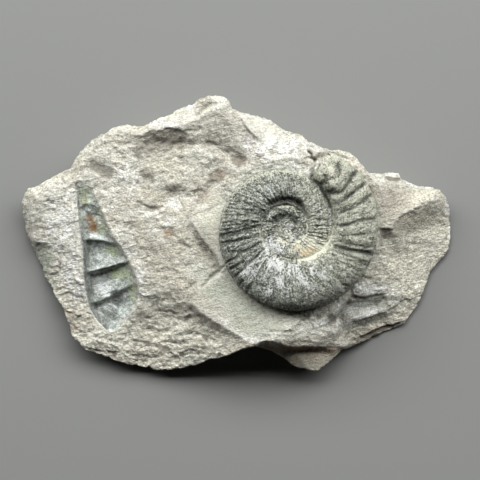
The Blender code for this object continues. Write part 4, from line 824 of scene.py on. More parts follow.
def mould_place(places):
    """Each place's share across the snail mould, its whorl, its share down that, and whether it is within."""
    x, y = places[..., 0], places[..., 1]
    left, right = line_x(MOULD_LEFT, y), line_x(MOULD_RIGHT, y)
    across = (x - left) / np.maximum(right - left, 1e-3)
    seams = np.array([line_y(seam, x) for seam in MOULD_SEAMS])
    whorl = np.clip((y >= seams).sum(axis=0) - 1, 0, len(MOULD_SEAMS) - 2)
    top, foot = (np.take_along_axis(seams, (whorl + k)[None], axis=0)[0] for k in (0, 1))
    down = (y - top) / (foot - top)
    return across, whorl, down, (across > 0) & (across < 1) & (down > 0) & (down < 1)


def mould_depth(places):
    """Depth of the snail mould in millimetres.

    Across it is a steep straight left wall and then a quarter of an oval. Down it each whorl drops fast
    below the ridge at its upper seam and rises by the cube of its share down to the ridge at its lower one.
    """
    across, whorl, down, within = mould_place(places)
    y = places[..., 1]
    width = (line_x(MOULD_RIGHT, y) - line_x(MOULD_LEFT, y)) * STEP / MM
    slope = np.sqrt(np.clip(1 - ((across - MOULD_WALL) / (1 - MOULD_WALL)) ** 2, 0, 1))
    trough = np.where(across < MOULD_WALL, np.clip(across / MOULD_WALL, 0, 1), slope)
    ridge = np.array(MOULD_RIDGE)
    below = ridge[whorl] * np.clip(1 - down / MOULD_DROP, 0, 1) ** 1.5
    crest = below + ridge[whorl + 1] * np.clip(down, 0, 1) ** 3
    (top, top_fade), (foot, foot_fade) = MOULD_ENDS
    ends = np.clip(np.minimum((y - top) / top_fade, (foot - y) / foot_fade), 0, 1)
    return np.where(within, width * MOULD_DEPTH * trough * (1 - crest) * ends, 0)


def rim_side(first, last, count):
    """Count places spaced evenly along the rim from one of its corners to another, with their heights."""
    rim = np.array(RIM, float)
    turn = np.roll(rim, -first, axis=0)[: (last - first) % len(rim) + 1]
    length = np.concatenate([[0], np.cumsum(np.linalg.norm(np.diff(turn[:, :2], axis=0), axis=1))])
    at = np.linspace(0, length[-1], count)
    return np.stack([np.interp(at, length, turn[:, k]) for k in range(3)], axis=1)


def face_grid(columns, rows):
    """Plan places on a grid that fills the rim, and the rim's heights.

    Each place is the blend of the top and bottom sides at its column, plus the blend of the left and right
    sides at its row, less the blend of the four corners. Rounds of averaging then even out the cells.
    """
    corners = [RIM.index(corner) for corner in FACE_CORNERS]
    top = rim_side(corners[0], corners[1], columns)
    right = rim_side(corners[1], corners[2], rows)
    bottom = rim_side(corners[2], corners[3], columns)[::-1]
    left = rim_side(corners[3], corners[0], rows)[::-1]
    u = np.linspace(0, 1, columns)[None, :, None]
    v = np.linspace(0, 1, rows)[:, None, None]
    grid = (1 - v) * top[None] + v * bottom[None] + (1 - u) * left[:, None] + u * right[:, None]
    grid -= (1 - u) * (1 - v) * top[0] + u * (1 - v) * top[-1] + (1 - u) * v * bottom[0] + u * v * bottom[-1]
    grid = averaged(grid, FACE_ROUNDS, kept=0)
    return grid[..., :2], grid[..., 2]


def averaged(values, rounds, kept=0.5):
    """A grid of values, each inner one moved to its four neighbours' mean but for a kept share, in rounds."""
    values = values.copy()
    for _ in range(rounds):
        around = values[:-2, 1:-1] + values[2:, 1:-1] + values[1:-1, :-2] + values[1:-1, 2:]
        values[1:-1, 1:-1] = values[1:-1, 1:-1] * kept + around * (1 - kept) / 4
    return values


def filled(polygons, places):
    """The strength of the strongest polygon that each place is in, or 0. Each comes with its strength."""
    return np.max([strength * inside(polygon, places) for polygon, strength in polygons], axis=0)


def broken_relief(points, slope, settings):
    """What the break left on the upper face, in millimetres: lumps, ledges, chips in four sizes, and pits.

    Ledges are noise in terraces, which come and go. The slope by the near edge adds more chips, and
    scallops, which are 1 - 2.2 |noise|. The grid that all but the pits are worked out on is bent by a broad
    noise first.
    """
    bend = np.stack([layered(points, 22, 3, seed=k) for k in (40, 50, 60)], axis=-1)
    bent = points + bend * 6
    lumps = layered(bent, 26, 3, seed=3)
    ledges = terraces(layered(bent, (22, 14, 14), 4, 0.6, seed=11) * 3.0, 0.1)
    ledges *= smooth_step(layered(points, 30, 2, seed=14), -0.1, 0.5)
    chips = chipped(bent, (27, 21), 60, seed=9) * 1.8 + chipped(bent, (13, 10), 45, seed=1) * 0.9
    chips += chipped(bent, (6.4, 5.2), 30, seed=2) * 0.4
    chips *= 0.75 + 0.35 * smooth_step(layered(points, 40, 2, seed=18), -0.3, 0.3)
    small = chipped(bent, (3.2, 2.8), 18, seed=3)
    pits = smooth_step(noise(points / (4.2, 3.4, 3.4), 33), 0.42, 0.85)
    scallops = 1 - 2.2 * np.abs(layered(bent, (12, 9, 9), 2, 0.5, seed=21))
    flake = settings.flake_height / MM
    relief = lumps * 0.4 + (ledges * 0.28 + chips * 0.68 + small * 0.4) * flake - pits * 0.12
    return relief + slope * (scallops * 0.1 + chipped(bent, (9, 7), 30, seed=4) * 0.34)


def bedded(heights, places):
    """The face's heights where the shell lies in it.

    A narrow groove runs round the shell, as deep as exp(-d^2) of the distance from its outline. Inside the
    outline the face sinks, by a smooth step, to just above the shell's floor.
    """
    outline = shell_outline()
    depth_in = distance(outline, places, closed=True) * np.where(inside(outline, places), 1, -1)
    groove = COLLAR_DEPTH * np.exp(-(((depth_in + 0.6) / 1.2) ** 2))
    heights = np.maximum(heights - groove, LOWEST_FACE)
    buried = smooth_step(depth_in, 0.8, 3.0)
    return heights * (1 - buried) + np.minimum(heights, SHELL_FLOOR + POCKET_COVER) * buried


def face_masks(places, points, heights, wander, lining, rim_gap):
    """The numbers that the stone's colours follow, at each place.

    Most are ovals or polygons with ragged edges. How raised a place is, is its height less the mean height
    round it. The mould's left wall gets the same painted shade as the bands under its ridges.
    """
    ragged = layered(points, 9, 3, 0.6, seed=81) * 1.1
    across = mould_place(places)[0]
    # Painted shade along the mould's steep left wall, joined to the painted shade under its ridges
    wall = (1 - smooth_step(across + wander * 0.05, 0.06, 0.2)) * smooth_step(places[..., 1], 190, 250)
    shaded = blotches(places, MOULD_SHADE_AND_STAIN, ragged * 0.35 + wander * 0.25)
    shaded = np.maximum(shaded * smooth_step(shaded, 0.2, 0.65), 0.85 * wall)
    bright = blotches(places, MOULD_PALE, ragged * 0.7 + wander * 0.4)
    greenish = blotches(places, GREENISH, ragged * 0.5) * (1 - lining)
    rusty = blotches(places, RUSTY, ragged) * (1 - lining)
    return {
        "powder_and_highlight": blotches(places, POWDER_AND_HIGHLIGHT, ragged),
        "creamy": blotches(places, CREAMY, ragged),
        "smudge_and_shade": blotches(places, SMUDGE_AND_SHADE, ragged),
        "brown_and_shade": averaged(filled(BROWN_AND_SHADE, places + wander[..., None] * 1.2), 1),
        "greenish": np.maximum(greenish, blotches(places, MOULD_GREEN, ragged) * lining),
        "rusty": np.maximum(rusty, blotches(places, MOULD_RUST, ragged * 0.7) * lining),
        "lining": lining,
        "bright": bright * smooth_step(bright, 0.2, 0.65) * lining,
        "shaded": shaded * lining,
        "raised": np.clip((heights - averaged(heights, 26)) / 0.55, -1, 1) * smooth_step(rim_gap, 0, 4),
    }


def face_relief(places, rim_heights, settings):
    """The upper face's heights in millimetres, and the masks that its colours follow.

    Heights are the facets, averaged a little, plus the broken relief and the grain, less the mould, the
    cracks and the drops at the ledges. Plates, calm places and the mould's lining damp the relief and the
    grain.
    """
    points = with_heights(places)
    facets = UpperFace().heights_at(places.reshape(-1, 2)).reshape(places.shape[:2])
    facets[0], facets[-1] = rim_heights[0], rim_heights[-1]
    facets[:, 0], facets[:, -1] = rim_heights[:, 0], rim_heights[:, -1]
    rim_gap = distance(RIM, places, closed=True)
    plate = averaged(filled([(polygon, 1.0) for polygon in PLATES], places), 3)
    across, *_, within = mould_place(places)
    wander = layered(points, 5, 3, 0.6, seed=35)
    lining = averaged(within * smooth_step(1.06 - across + wander * 0.24 * across, 0.0, 0.16), 1)
    lining = lining * (0.45 + 0.55 * smooth_step(places[..., 1] + wander * 5, 178, 204))
    slope = averaged(inside(SLOPE, places).astype(float), 12)
    calm = blotches(places, CALM, layered(points, 20, 2, seed=51) * 0.4)
    rough = (1 - 0.65 * calm) * (1 - 0.9 * plate) * (1 - 0.92 * lining)
    rough *= 0.6 + 0.4 * smooth_step(rim_gap, 0, 3)
    grain = layered(points, 4.2, 2, 0.8, seed=31) * 0.7 * settings.grain_height / MM
    grain *= (1 - 0.8 * plate) * (1 - 0.6 * lining) * (1 - 0.5 * calm)
    relief = rough * broken_relief(points, slope, settings) + grain
    heights = averaged(facets, 2) + relief - averaged(mould_depth(places), 1)
    for line, width, depth in CRACKS:
        ragged = width * (1 + 0.5 * noise(points / 3.0, 71))
        heights -= depth * np.exp(-((distance(line, places) / ragged) ** 2))
    for line, drop, reach in LEDGES:
        near = (np.abs(places - np.mean(line, axis=0)) < LEDGE_BOX).all(axis=-1)
        heights[near] -= ledge_drop(line, drop, reach, places[near] + wander[near][:, None] * 0.9)
    heights = bedded(heights, places)
    masks = face_masks(places, points, heights, wander, lining, rim_gap)
    masks["plate"] = plate
    return heights, masks


def base_ring(places):
    """For each place, the point of the base patch's outline in its direction from the middle."""
    outline = np.array(BASE, float) - PLAN_MIDDLE
    outline = outline[np.argsort(np.arctan2(outline[:, 1], outline[:, 0]))]
    turn = np.arctan2(outline[:, 1], outline[:, 0])
    way = places - PLAN_MIDDLE
    way /= np.linalg.norm(way, axis=1)[:, None]
    after = np.searchsorted(turn, np.arctan2(way[:, 1], way[:, 0])) % len(outline)
    a, side = outline[after - 1], outline[after] - outline[after - 1]
    reach = (a[:, 0] * side[:, 1] - a[:, 1] * side[:, 0]) / (way[:, 0] * side[:, 1] - way[:, 1] * side[:, 0])
    return way * reach[:, None] + PLAN_MIDDLE


def side_rows(ring, heights):
    """Rows of points from the rim down to the base patch: (places, heights, how raised each is).

    A row at share t down is the rim's place moved t^1.3 of the way to the base, at 1 - t of the rim's
    height. Noise then pushes it inward: broad breaks, beds that run level, and grit.
    """
    foot = base_ring(ring)
    down = np.linspace(0, 1, SIDE_ROWS + 1)[1:, None]
    places = ring[None] + (foot - ring)[None] * (down**1.3)[..., None]
    levels = heights[None] * (1 - down)
    points = with_heights(places, levels * MM / STEP)
    breaks = np.abs(layered(points, 30, 3, 0.5, seed=8)) * 1.5
    beds = terraces(layered(points, (60, 60, 7), 3, 0.6, seed=91) * 2.0) * 0.35
    grit = layered(points, 5, 3, 0.6, seed=95)
    fade = smooth_step(down, 0.0, 0.25) * (1 - smooth_step(down, 0.9, 1.0))
    push = np.maximum(breaks + beds + grit * 0.3 + 0.3, 0) * fade * MM / STEP
    way = places - PLAN_MIDDLE
    places = places - way / np.linalg.norm(way, axis=-1)[..., None] * push[..., None]
    return places, levels, -grit * fade


def stone_mesh(columns, rows, settings):
    """The whole stone as (points, faces, masks, smooth): face grid, side rows, and rings that close it.

    Noise first bites the grid back from the rim, fading as exp(-gap / 3). Below, each ring is the side's
    foot drawn in to a fixed share, with low noise on all but the first, and a fan closes the last. The
    first row of side faces is shaded flat, so that the rim stays crisp.
    """
    places, rim_heights = face_grid(columns, rows)
    bite = np.maximum(layered(with_heights(places), 9, 4, 0.75, seed=41) + 0.1, 0) * 1.7
    bite *= np.exp(-distance(RIM, places, closed=True) / 3)
    inward = PLAN_MIDDLE - places
    places = places + inward / np.maximum(np.linalg.norm(inward, axis=-1), 1)[..., None] * bite[..., None]
    heights, masks = face_relief(places, rim_heights, settings)
    index = np.arange(rows * columns).reshape(rows, columns)
    ring = np.concatenate([index[0], index[1:, -1], index[-1, -2::-1], index[-2:0:-1, 0]])
    side_places, side_levels, side_raised = side_rows(places.reshape(-1, 2)[ring], heights.ravel()[ring])
    shares = np.array(BASE_SHARES)[:, None]
    base_places = PLAN_MIDDLE + (side_places[-1] - PLAN_MIDDLE)[None] * shares[..., None]
    lift = np.maximum(layered(with_heights(base_places), 26, 4, 0.55, seed=61) * 1.3 - 0.1, 0)
    base_levels = lift * (shares < BASE_SHARES[0])
    flat = [places.reshape(-1, 2), side_places.reshape(-1, 2), base_places.reshape(-1, 2), [PLAN_MIDDLE]]
    levels = np.concatenate([heights.ravel(), side_levels.ravel(), base_levels.ravel(), [0.0]])
    points = np.concatenate([plan(np.concatenate(flat)), levels[:, None] * MM], axis=1)
    count = len(ring)
    rings = np.arange((SIDE_ROWS + len(BASE_SHARES)) * count).reshape(-1, count) + index.size
    rings = np.concatenate([ring[None], rings])
    after = np.roll(rings, -1, axis=1)
    cells = [index[:-1, :-1], index[1:, :-1], index[1:, 1:], index[:-1, 1:]]
    bands = [rings[:-1], after[:-1], after[1:], rings[1:]]
    face_quads, band_quads = (np.stack(corners, axis=-1).reshape(-1, 4) for corners in (cells, bands))
    fan = np.stack([rings[-1], after[-1], np.full(count, len(points) - 1)], axis=-1)
    below = np.zeros(len(points) - index.size)
    masks = {name: np.concatenate([mask.ravel(), below]) for name, mask in masks.items()}
    masks["raised"][index.size : index.size + side_raised.size] = side_raised.ravel()
    smooth = np.ones(len(face_quads) + len(band_quads) + len(fan), bool)
    smooth[len(face_quads) : len(face_quads) + count] = False
    return points, [np.concatenate([face_quads, band_quads]), fan], masks, smooth


# The shell


def spiral_radius(angle):
    """The spiral's outer edge: a smooth curve through the logarithms of the known radii, by cubic pieces."""
    known = np.array(SPIRAL_EDGE, float)
    at, value = known[:, 0], np.log(known[:, 1])
    k = np.clip(np.searchsorted(at, angle) - 1, 1, len(at) - 3)
    gap = at[k + 1] - at[k]
    share = (angle - at[k]) / gap
    slope_a = (value[k + 1] - value[k - 1]) / (at[k + 1] - at[k - 1]) * gap
    slope_b = (value[k + 2] - value[k]) / (at[k + 2] - at[k]) * gap
    s2, s3 = share**2, share**3
    ends = (2 * s3 - 3 * s2 + 1) * value[k] + (3 * s2 - 2 * s3) * value[k + 1]
    return np.exp(ends + (s3 - 2 * s2 + share) * slope_a + (s3 - s2) * slope_b)


def shell_plan(angle, radius):
    """Plan places at angles in degrees and radii round the shell's centre."""
    turn = np.radians(angle)
    x, y = SHELL_CENTRE[0] + radius * np.cos(turn), SHELL_CENTRE[1] - radius * np.sin(turn)
    return np.stack([x, y], axis=-1)


def by_turn(table, angle):
    """A table's value at each angle round the shell, straight between its rows, the same a full turn on."""
    angles, values = zip(*table)
    return np.interp(angle % 360, angles, values)


def by_spiral(table, angle):
    """A table's value at each angle of the spiral, straight between its rows."""
    angles, values = zip(*table)
    return np.interp(angle, angles, values)


def whorl_rise(radius):
    """The height of a whorl's top above its middle plane, and of that plane, in millimetres."""
    return (
        WHORL_RISE * (radius / WHORL_RISE_RADIUS) ** 0.85,
        SHELL_MIDDLE + CENTRE_LIFT * (1 - radius / WHORL_RISE_RADIUS),
    )


def edge_height(angle):
    """The height of a whorl's outer edge.

    It is the seam that the next whorl covers, at its share of the whorl's rise. Over the first ten degrees
    of the last whorl it changes to that whorl's foot.
    """
    rise, middle = whorl_rise(spiral_radius(angle))
    seam = middle + rise * by_spiral(SEAM_SHARE, angle)
    last = np.clip((angle - (MOUTH_ANGLE - 360)) / 10, 0, 1)
    return seam + (by_turn(SHELL_FOOT, angle) - seam) * last


def leaned(angle, across):
    """The angle at which a rib that starts at this angle has got this share across its whorl."""
    turns = (angle - MOUTH_ANGLE) / 360 + across
    lean = by_turn(RIB_LEAN, angle)
    return angle + lean * np.maximum(turns, -1.0) + INNER_LEAN * np.minimum(turns + 1, 0.0)


def oval_height(share):
    """A whorl's oval: (1 - |s|^a)^b of its rise, s being the share of its half width, a and b its powers."""
    return np.maximum(0, 1 - np.abs(share) ** OVAL_SIDE) ** OVAL_TOP


def oval_reach(height):
    """The share of a whorl's half width at which its oval has this share of its rise."""
    return (1 - np.clip(height, 0, 1) ** (1 / OVAL_TOP)) ** (1 / OVAL_SIDE)


def shell_outline():
    """The last whorl's outer edge and the line of the mouth, as plan places."""
    angle = MOUTH_ANGLE - 360 + np.linspace(0, 360, 121)[:-1]
    edge = shell_plan(leaned(angle, 1), spiral_radius(angle))
    across = np.array([1.0, 0.75, 0.5, 0.25])
    inner, outer = spiral_radius(MOUTH_ANGLE - 360), spiral_radius(MOUTH_ANGLE)
    return np.concatenate([edge, shell_plan(leaned(MOUTH_ANGLE, across), inner + (outer - inner) * across)])


def rib_count(angle):
    """Ribs counted from the mouth: one from groove to groove near it, then one every RIB_TURN degrees."""
    far = MOUTH_GROOVES[-1] - RIB_TURN * np.arange(1, 180)
    at = np.concatenate([MOUTH_GROOVES, far])[::-1]
    return np.interp(angle, at, np.arange(len(at))[::-1].astype(float))


def ribbed(count, width):
    """1 on a rib and -1 in a groove: 1 - 2 exp(-(g / width)^2), g being 0 in a groove and 1 midway."""
    gap = np.abs(count - np.round(count)) * 2
    return 1 - 2 * np.exp(-((gap / width) ** 2))


def rib_relief(angle, across, points):
    """How far the ribs stand out, from -1 in a deep groove to 1 on a fresh crest.

    The count of ribs wavers with noise. Near the outer edge, ribs at twice the count take over on the last
    whorl's left and lower side. The strength follows the spiral's angle, with worn stretches.
    """
    count = rib_count(angle) + 0.1 * layered(points, 14, 2, 0.5, seed=5)
    count = count + 0.05 * layered(points, 5, 2, 0.5, seed=7)
    forked = smooth_step(across, 0.6, 0.8) * smooth_step(-angle, 95, 130)
    ribs = ribbed(count, 0.5) * (1 - 0.75 * forked) + ribbed(count * 2, 0.6) * 0.8 * forked
    strength = by_spiral(RIB_STRENGTH, angle) * (1 + 0.35 * layered(points, 11, 3, 0.6, seed=14))
    kept = 0.6 + 0.4 * smooth_step(layered(points, 7, 3, 0.7, seed=17), -0.3, 0.2)
    return ribs * np.clip(strength, 0.08, 1.5) * kept


def groove_depth(angle, places, points):
    """Depth of the placed grooves in millimetres: each a narrow dip of exp(-d^2) in a wide, shallow one."""
    depths = np.zeros(places.shape[:-1])
    for line, width, depth in SHELL_GROOVES:
        near = (np.abs(places - np.mean(line, axis=0)) < GROOVE_BOX).all(axis=-1) & (angle > GROOVE_START)
        gap = distance(line, places[near]) / (width * (1 + 0.3 * noise(points[near] / 3.5, 73)))
        depths[near] += depth * (0.75 * np.exp(-(gap**2)) + 0.25 * np.exp(-((gap / 2.6) ** 2)))
    return depths


def shell_mesh(settings):
    """The coiled shell as (points, faces, masks).

    A point is given by its angle along the spiral and its share across the whorl. Its radius runs from the
    inner seam to the outer edge. Its height is the whorl's oval, plus the ribs, broken lumps by the mouth
    and grit, less the placed grooves. The whorls inside the hollow of the coil are flattened to a worn
    dome, and no height passes the box.
    """
    steps = round(SHELL_TURN * WHORLS)
    angle = (START_ANGLE + 360 / SHELL_TURN * np.arange(steps + 1))[:, None]
    even = np.linspace(0, 1, SHELL_ROWS)
    across = (even - 0.06 * np.sin(2 * np.pi * even))[None]
    outer, inner = spiral_radius(angle), spiral_radius(angle - 360)
    rise, middle = whorl_rise(outer)
    reach_in = oval_reach((edge_height(angle - 360) - middle) / rise)
    reach_out = oval_reach((edge_height(angle) - middle) / rise)
    heights = middle + rise * oval_height((reach_in + reach_out) * across - reach_in)
    places = shell_plan(leaned(angle, across), inner + (outer - inner) * across)
    waver = [layered(with_heights(places), 6, 2, 0.6, seed=k) for k in (101, 111)]
    places = places + np.stack(waver, axis=-1) * 0.6
    points = with_heights(places, heights * MM / STEP)
    flank = smooth_step(across, 0.0, 0.12) * (1 - smooth_step(across, 0.93, 1.0))
    crest = rib_relief(angle, across, points) * flank
    grooves = groove_depth(angle, places, points)
    lumps = blotches(places, SHELL_LUMPS) + layered(points, 12, 3, 0.6, seed=24) * smooth_step(angle, 40, 50)
    lumps = lumps - smooth_step(angle, 55, 66) * MOUTH_DROP
    size = (outer / WHORL_RISE_RADIUS) ** 0.8
    heights = heights + crest * settings.rib_height / MM * 0.5 * size + (lumps - grooves) * flank
    grit = layered(points, 2.3, 3, 0.8, seed=44)
    worn = layered(points, 9, 3, 0.6, seed=54)
    coil = smooth_step(-angle, 560, 680)
    worn_dome = middle + rise * 0.75 + 0.25 * worn
    heights = heights * (1 - 0.7 * coil * flank) + worn_dome * 0.7 * coil * flank
    rough = grit * settings.grit_height / MM + (0.16 + 0.25 * coil) * worn
    heights = heights + flank * (1 - 0.3 * coil) * rough
    ceiling = CAD_BOX[1][2] / MM - CEILING_GAP
    heights = np.minimum(heights, ceiling + CEILING_EASE * np.tanh((heights - ceiling) / CEILING_EASE))
    masks = shell_masks(angle, across, places, points)
    masks["worn"] = worn
    # Lighter on rib crests, a painted highlight, and darker in the grooves, painted shade
    masks["crest"] = crest - grooves * 0.9
    masks["grit"] = np.clip(grit, -1, 1)
    return joined_shell(places, heights, angle, masks)


def shell_masks(angle, across, places, points):
    """The numbers that the shell's colours follow, at each point.

    They say how beige the shell is, and where it has pale mineral streaks, amber spots, its pale outer rim,
    cream marl and seams. Streaks are noise drawn out across the whorl; a seam fades as exp(-d^2) of the
    share across from it.
    """
    count, run = (rib_count(angle) * 1.5 + 0 * across), (across * 3.2 + 0 * angle)
    streaks = layered(np.stack([count, run, 0 * run], axis=-1), 1.0, 3, 0.65, seed=64)
    patchy = layered(points, 16, 3, 0.6, seed=66)
    ragged = layered(points, 6, 3, 0.6, seed=84)
    bottom = smooth_step(angle, -158, -128) * (1 - smooth_step(angle, -62, -32))
    band = smooth_step(across, 0.0, 0.12) * (1 - smooth_step(across, 0.4, 0.8))
    pale = bottom * band * (0.1 + smooth_step(streaks * 0.9 + patchy * 0.9 + 0.1, 0.05, 0.6))
    top = smooth_step(angle, -300, -280) * (1 - smooth_step(angle, -225, -195))
    band = smooth_step(across, 0.1, 0.3) * (1 - smooth_step(across, 0.55, 0.8))
    pale = np.maximum(pale, top * band * smooth_step(streaks + patchy, 0.25, 0.7) * 0.6)
    pale = np.maximum(pale, blotches(places, PALE_SPOTS, layered(points, 6, 3, seed=74)))
    rim = by_turn(RIM_WIDTH, angle)
    edge = smooth_step(across + 0.05 * patchy, 1 - rim - 0.03, 1 - rim * 0.5) * (angle > MOUTH_ANGLE - 360)
    shown = by_turn(SEAM_SHOWN, angle) * (1 + 0.8 * noise(points / 5, 91)) * smooth_step(angle, -640, -560)
    wide = 0.05 + 0.05 * by_turn(SEAM_WIDTH, angle)
    inner_seam = np.exp(-((across / wide) ** 2))
    outer_seam = np.exp(-(((1 - across) / wide) ** 2)) * (angle < MOUTH_ANGLE - 355)
    mouth = 0.45 * smooth_step(angle + patchy * 4, 55, 62)
    return {
        "beige": by_spiral(BEIGE_SHARE, angle) + 0 * across,
        "pale": np.clip(pale, 0, 1),
        "amber": blotches(places, AMBER_SPOTS, ragged),
        "edge": edge,
        "broken": np.maximum(mouth, blotches(places, CREAM_SPOTS, ragged)),
        "seam": np.maximum(inner_seam * shown, outer_seam * shown),
    }


def joined_shell(places, heights, angle, masks):
    """Numbers the shell's points so that neighbouring whorls share a seam, and closes it.

    A fan closes the coil's start, a wall goes down from the outer edge and the mouth, and a fan closes that
    below.
    """
    steps, rows = heights.shape
    index = np.arange(steps * rows).reshape(steps, rows)
    index[SHELL_TURN:, 0] = index[: steps - SHELL_TURN, -1]
    heights[:, -1] = edge_height(angle)[:, 0]
    points = np.concatenate([plan(places.reshape(-1, 2)), heights.reshape(-1, 1) * MM], axis=1)
    start = len(points)
    rise, middle = whorl_rise(spiral_radius(START_ANGLE))
    centre = [[*plan(SHELL_CENTRE), (middle + rise) * MM]]
    outline = np.concatenate([index[-SHELL_TURN - 1 :, -1], index[-1, -2:0:-1]])
    first = np.concatenate([index[: SHELL_TURN + 1, 0], index[0, -2:0:-1]])
    under = points[outline] * (1, 1, 0) + (0, 0, SHELL_FLOOR * MM)
    middle_under = [[*plan(SHELL_CENTRE), SHELL_FLOOR * MM]]
    points = np.concatenate([points, centre, under, middle_under])
    floor = start + 1 + np.arange(len(outline))
    quads = np.stack([index[:-1, :-1], index[:-1, 1:], index[1:, 1:], index[1:, :-1]], axis=-1).reshape(-1, 4)
    wall = np.stack([outline, floor, np.roll(floor, -1), np.roll(outline, -1)], axis=-1)
    cap = np.stack([first, np.roll(first, -1), np.full(len(first), start)], axis=-1)
    below = np.stack([np.roll(floor, -1), floor, np.full(len(floor), len(points) - 1)], axis=-1)
    parts = (quads, wall, cap, below)
    used, renumbered = np.unique(np.concatenate([part.ravel() for part in parts]), return_inverse=True)
    split = np.split(renumbered, np.cumsum([part.size for part in parts[:-1]]))
    quads, wall, cap, below = (new.reshape(part.shape) for new, part in zip(split, parts))
    bare = np.zeros(len(points) - start)
    masks = {
        name: np.concatenate([np.broadcast_to(mask, heights.shape).ravel(), bare])[used]
        for name, mask in masks.items()
    }
    return points[used], [np.concatenate([quads, wall]), np.concatenate([cap, below])], masks


# Meshes and materials


def mesh_object(name, points, faces, masks, smooth=True):
    """A mesh object made from whole arrays, with each mask as a number on its points."""
    sizes = np.concatenate([np.full(len(part), part.shape[1]) for part in faces])
    corners = np.concatenate([part.ravel() for part in faces]).astype(np.int32)
    starts = np.cumsum(sizes) - sizes
    data = bpy.data.meshes.new(name)
    data.vertices.add(len(points))
    data.vertices.foreach_set("co", points.astype(np.float32).ravel())
    data.loops.add(len(corners))
    data.loops.foreach_set("vertex_index", corners)
    data.polygons.add(len(sizes))
    data.polygons.foreach_set("loop_start", starts.astype(np.int32))
    data.polygons.foreach_set("loop_total", sizes.astype(np.int32))
    data.polygons.foreach_set("use_smooth", smooth & np.ones(len(sizes), bool))
    for mask, values in masks.items():
        data.attributes.new(mask, "FLOAT", "POINT").data.foreach_set("value", values.astype(np.float32))
    data.update(calc_edges=True)
    data.validate()
    made = bpy.data.objects.new(name, data)
    bpy.context.scene.collection.objects.link(made)
    return made


class Value:
    """One output of a node. Sums, differences and products of values add the Math nodes for them."""

    def __init__(self, finish, socket):
        self.finish = finish
        self.socket = socket

    def math(self, operation, a, b, clamp=False):
        return self.finish.node("ShaderNodeMath", {"operation": operation, "use_clamp": clamp}, {0: a, 1: b})

    def __add__(self, other):
        return self.math("ADD", self, other)

    __radd__ = __add__

    def __sub__(self, other):
        return self.math("SUBTRACT", self, other)

    def __rsub__(self, other):
        return self.math("SUBTRACT", other, self)

    def __mul__(self, other):
        return self.math("MULTIPLY", self, other)

    __rmul__ = __mul__

    def __neg__(self):
        return self * -1.0

    def clamped(self):
        """Held between 0 and 1."""
        return self.math("ADD", self, 0.0, clamp=True)

    def between(self, low, high):
        """0 at low and 1 at high, eased and held at both ends."""
        sockets = {"Value": self, "From Min": low, "From Max": high}
        return self.finish.node("ShaderNodeMapRange", {"interpolation_type": "SMOOTHSTEP"}, sockets)


class Finish:
    """A material under construction: a Principled shader, and the nodes that are added to it."""

    def __init__(self, name, roughness, specular):
        self.material = bpy.data.materials.new(name)
        self.material.use_nodes = True
        self.tree = self.material.node_tree
        self.shader = self.tree.nodes["Principled BSDF"]
        self.shader.inputs["Roughness"].default_value = roughness
        self.shader.inputs["Specular IOR Level"].default_value = specular
        self.place = self.node("ShaderNodeTexCoord", {}, {}, "Object")

    def node(self, kind, settings, sockets, output=0):
        """Adds a node, its settings first and then its sockets' values or links, and gives one output."""
        made = self.tree.nodes.new(kind)
        for name, value in settings.items():
            setattr(made, name, value)
        for name, value in sockets.items():
            if isinstance(value, Value):
                self.tree.links.new(value.socket, made.inputs[name])
            else:
                made.inputs[name].default_value = value
        return Value(self, made.outputs[output])

    def masks(self, *names):
        """The numbers of these names that the mesh carries."""
        return [self.node("ShaderNodeAttribute", {"attribute_name": name}, {}, "Fac") for name in names]

    def noise(self, scale, detail, roughness, stretch=None, turn=0.0):
        """Noise from 0 to 1 on the object's coordinates, drawn out by the stretch in turned directions."""
        place = self.place
        if stretch:
            sockets = {"Vector": place, "Rotation": (0, 0, turn), "Scale": stretch}
            place = self.node("ShaderNodeMapping", {"vector_type": "TEXTURE"}, sockets)
        sockets = {"Vector": place, "Scale": scale, "Detail": detail, "Roughness": roughness}
        return self.node("ShaderNodeTexNoise", {}, sockets)

    def mixed(self, amount, a, b, blend="MIX"):
        """Colour a turned into colour b by the amount. A colour is a value or three numbers."""
        a, b = (colour if isinstance(colour, Value) else (*colour, 1.0) for colour in (a, b))
        settings = {"data_type": "RGBA", "blend_type": blend}
        return self.node("ShaderNodeMix", settings, {0: amount, 6: a, 7: b}, output=2)

    def coated(self, colour, *coats):
        """The colour with each coat laid over it in turn: an amount, and the colour that it brings."""
        for amount, tint in coats:
            colour = self.mixed(amount, colour, tint)
        return colour

    def feed(self, socket, value):
        """Links a value to one of the shader's sockets."""
        self.tree.links.new(value.socket, self.shader.inputs[socket])

    def bump(self, relief, height):
        """Gives the surface a relief from 0 to 1 as a bump of that height in metres."""
        sockets = {"Height": relief, "Distance": height, "Strength": 1.0}
        self.feed("Normal", self.node("ShaderNodeBump", {}, sockets))


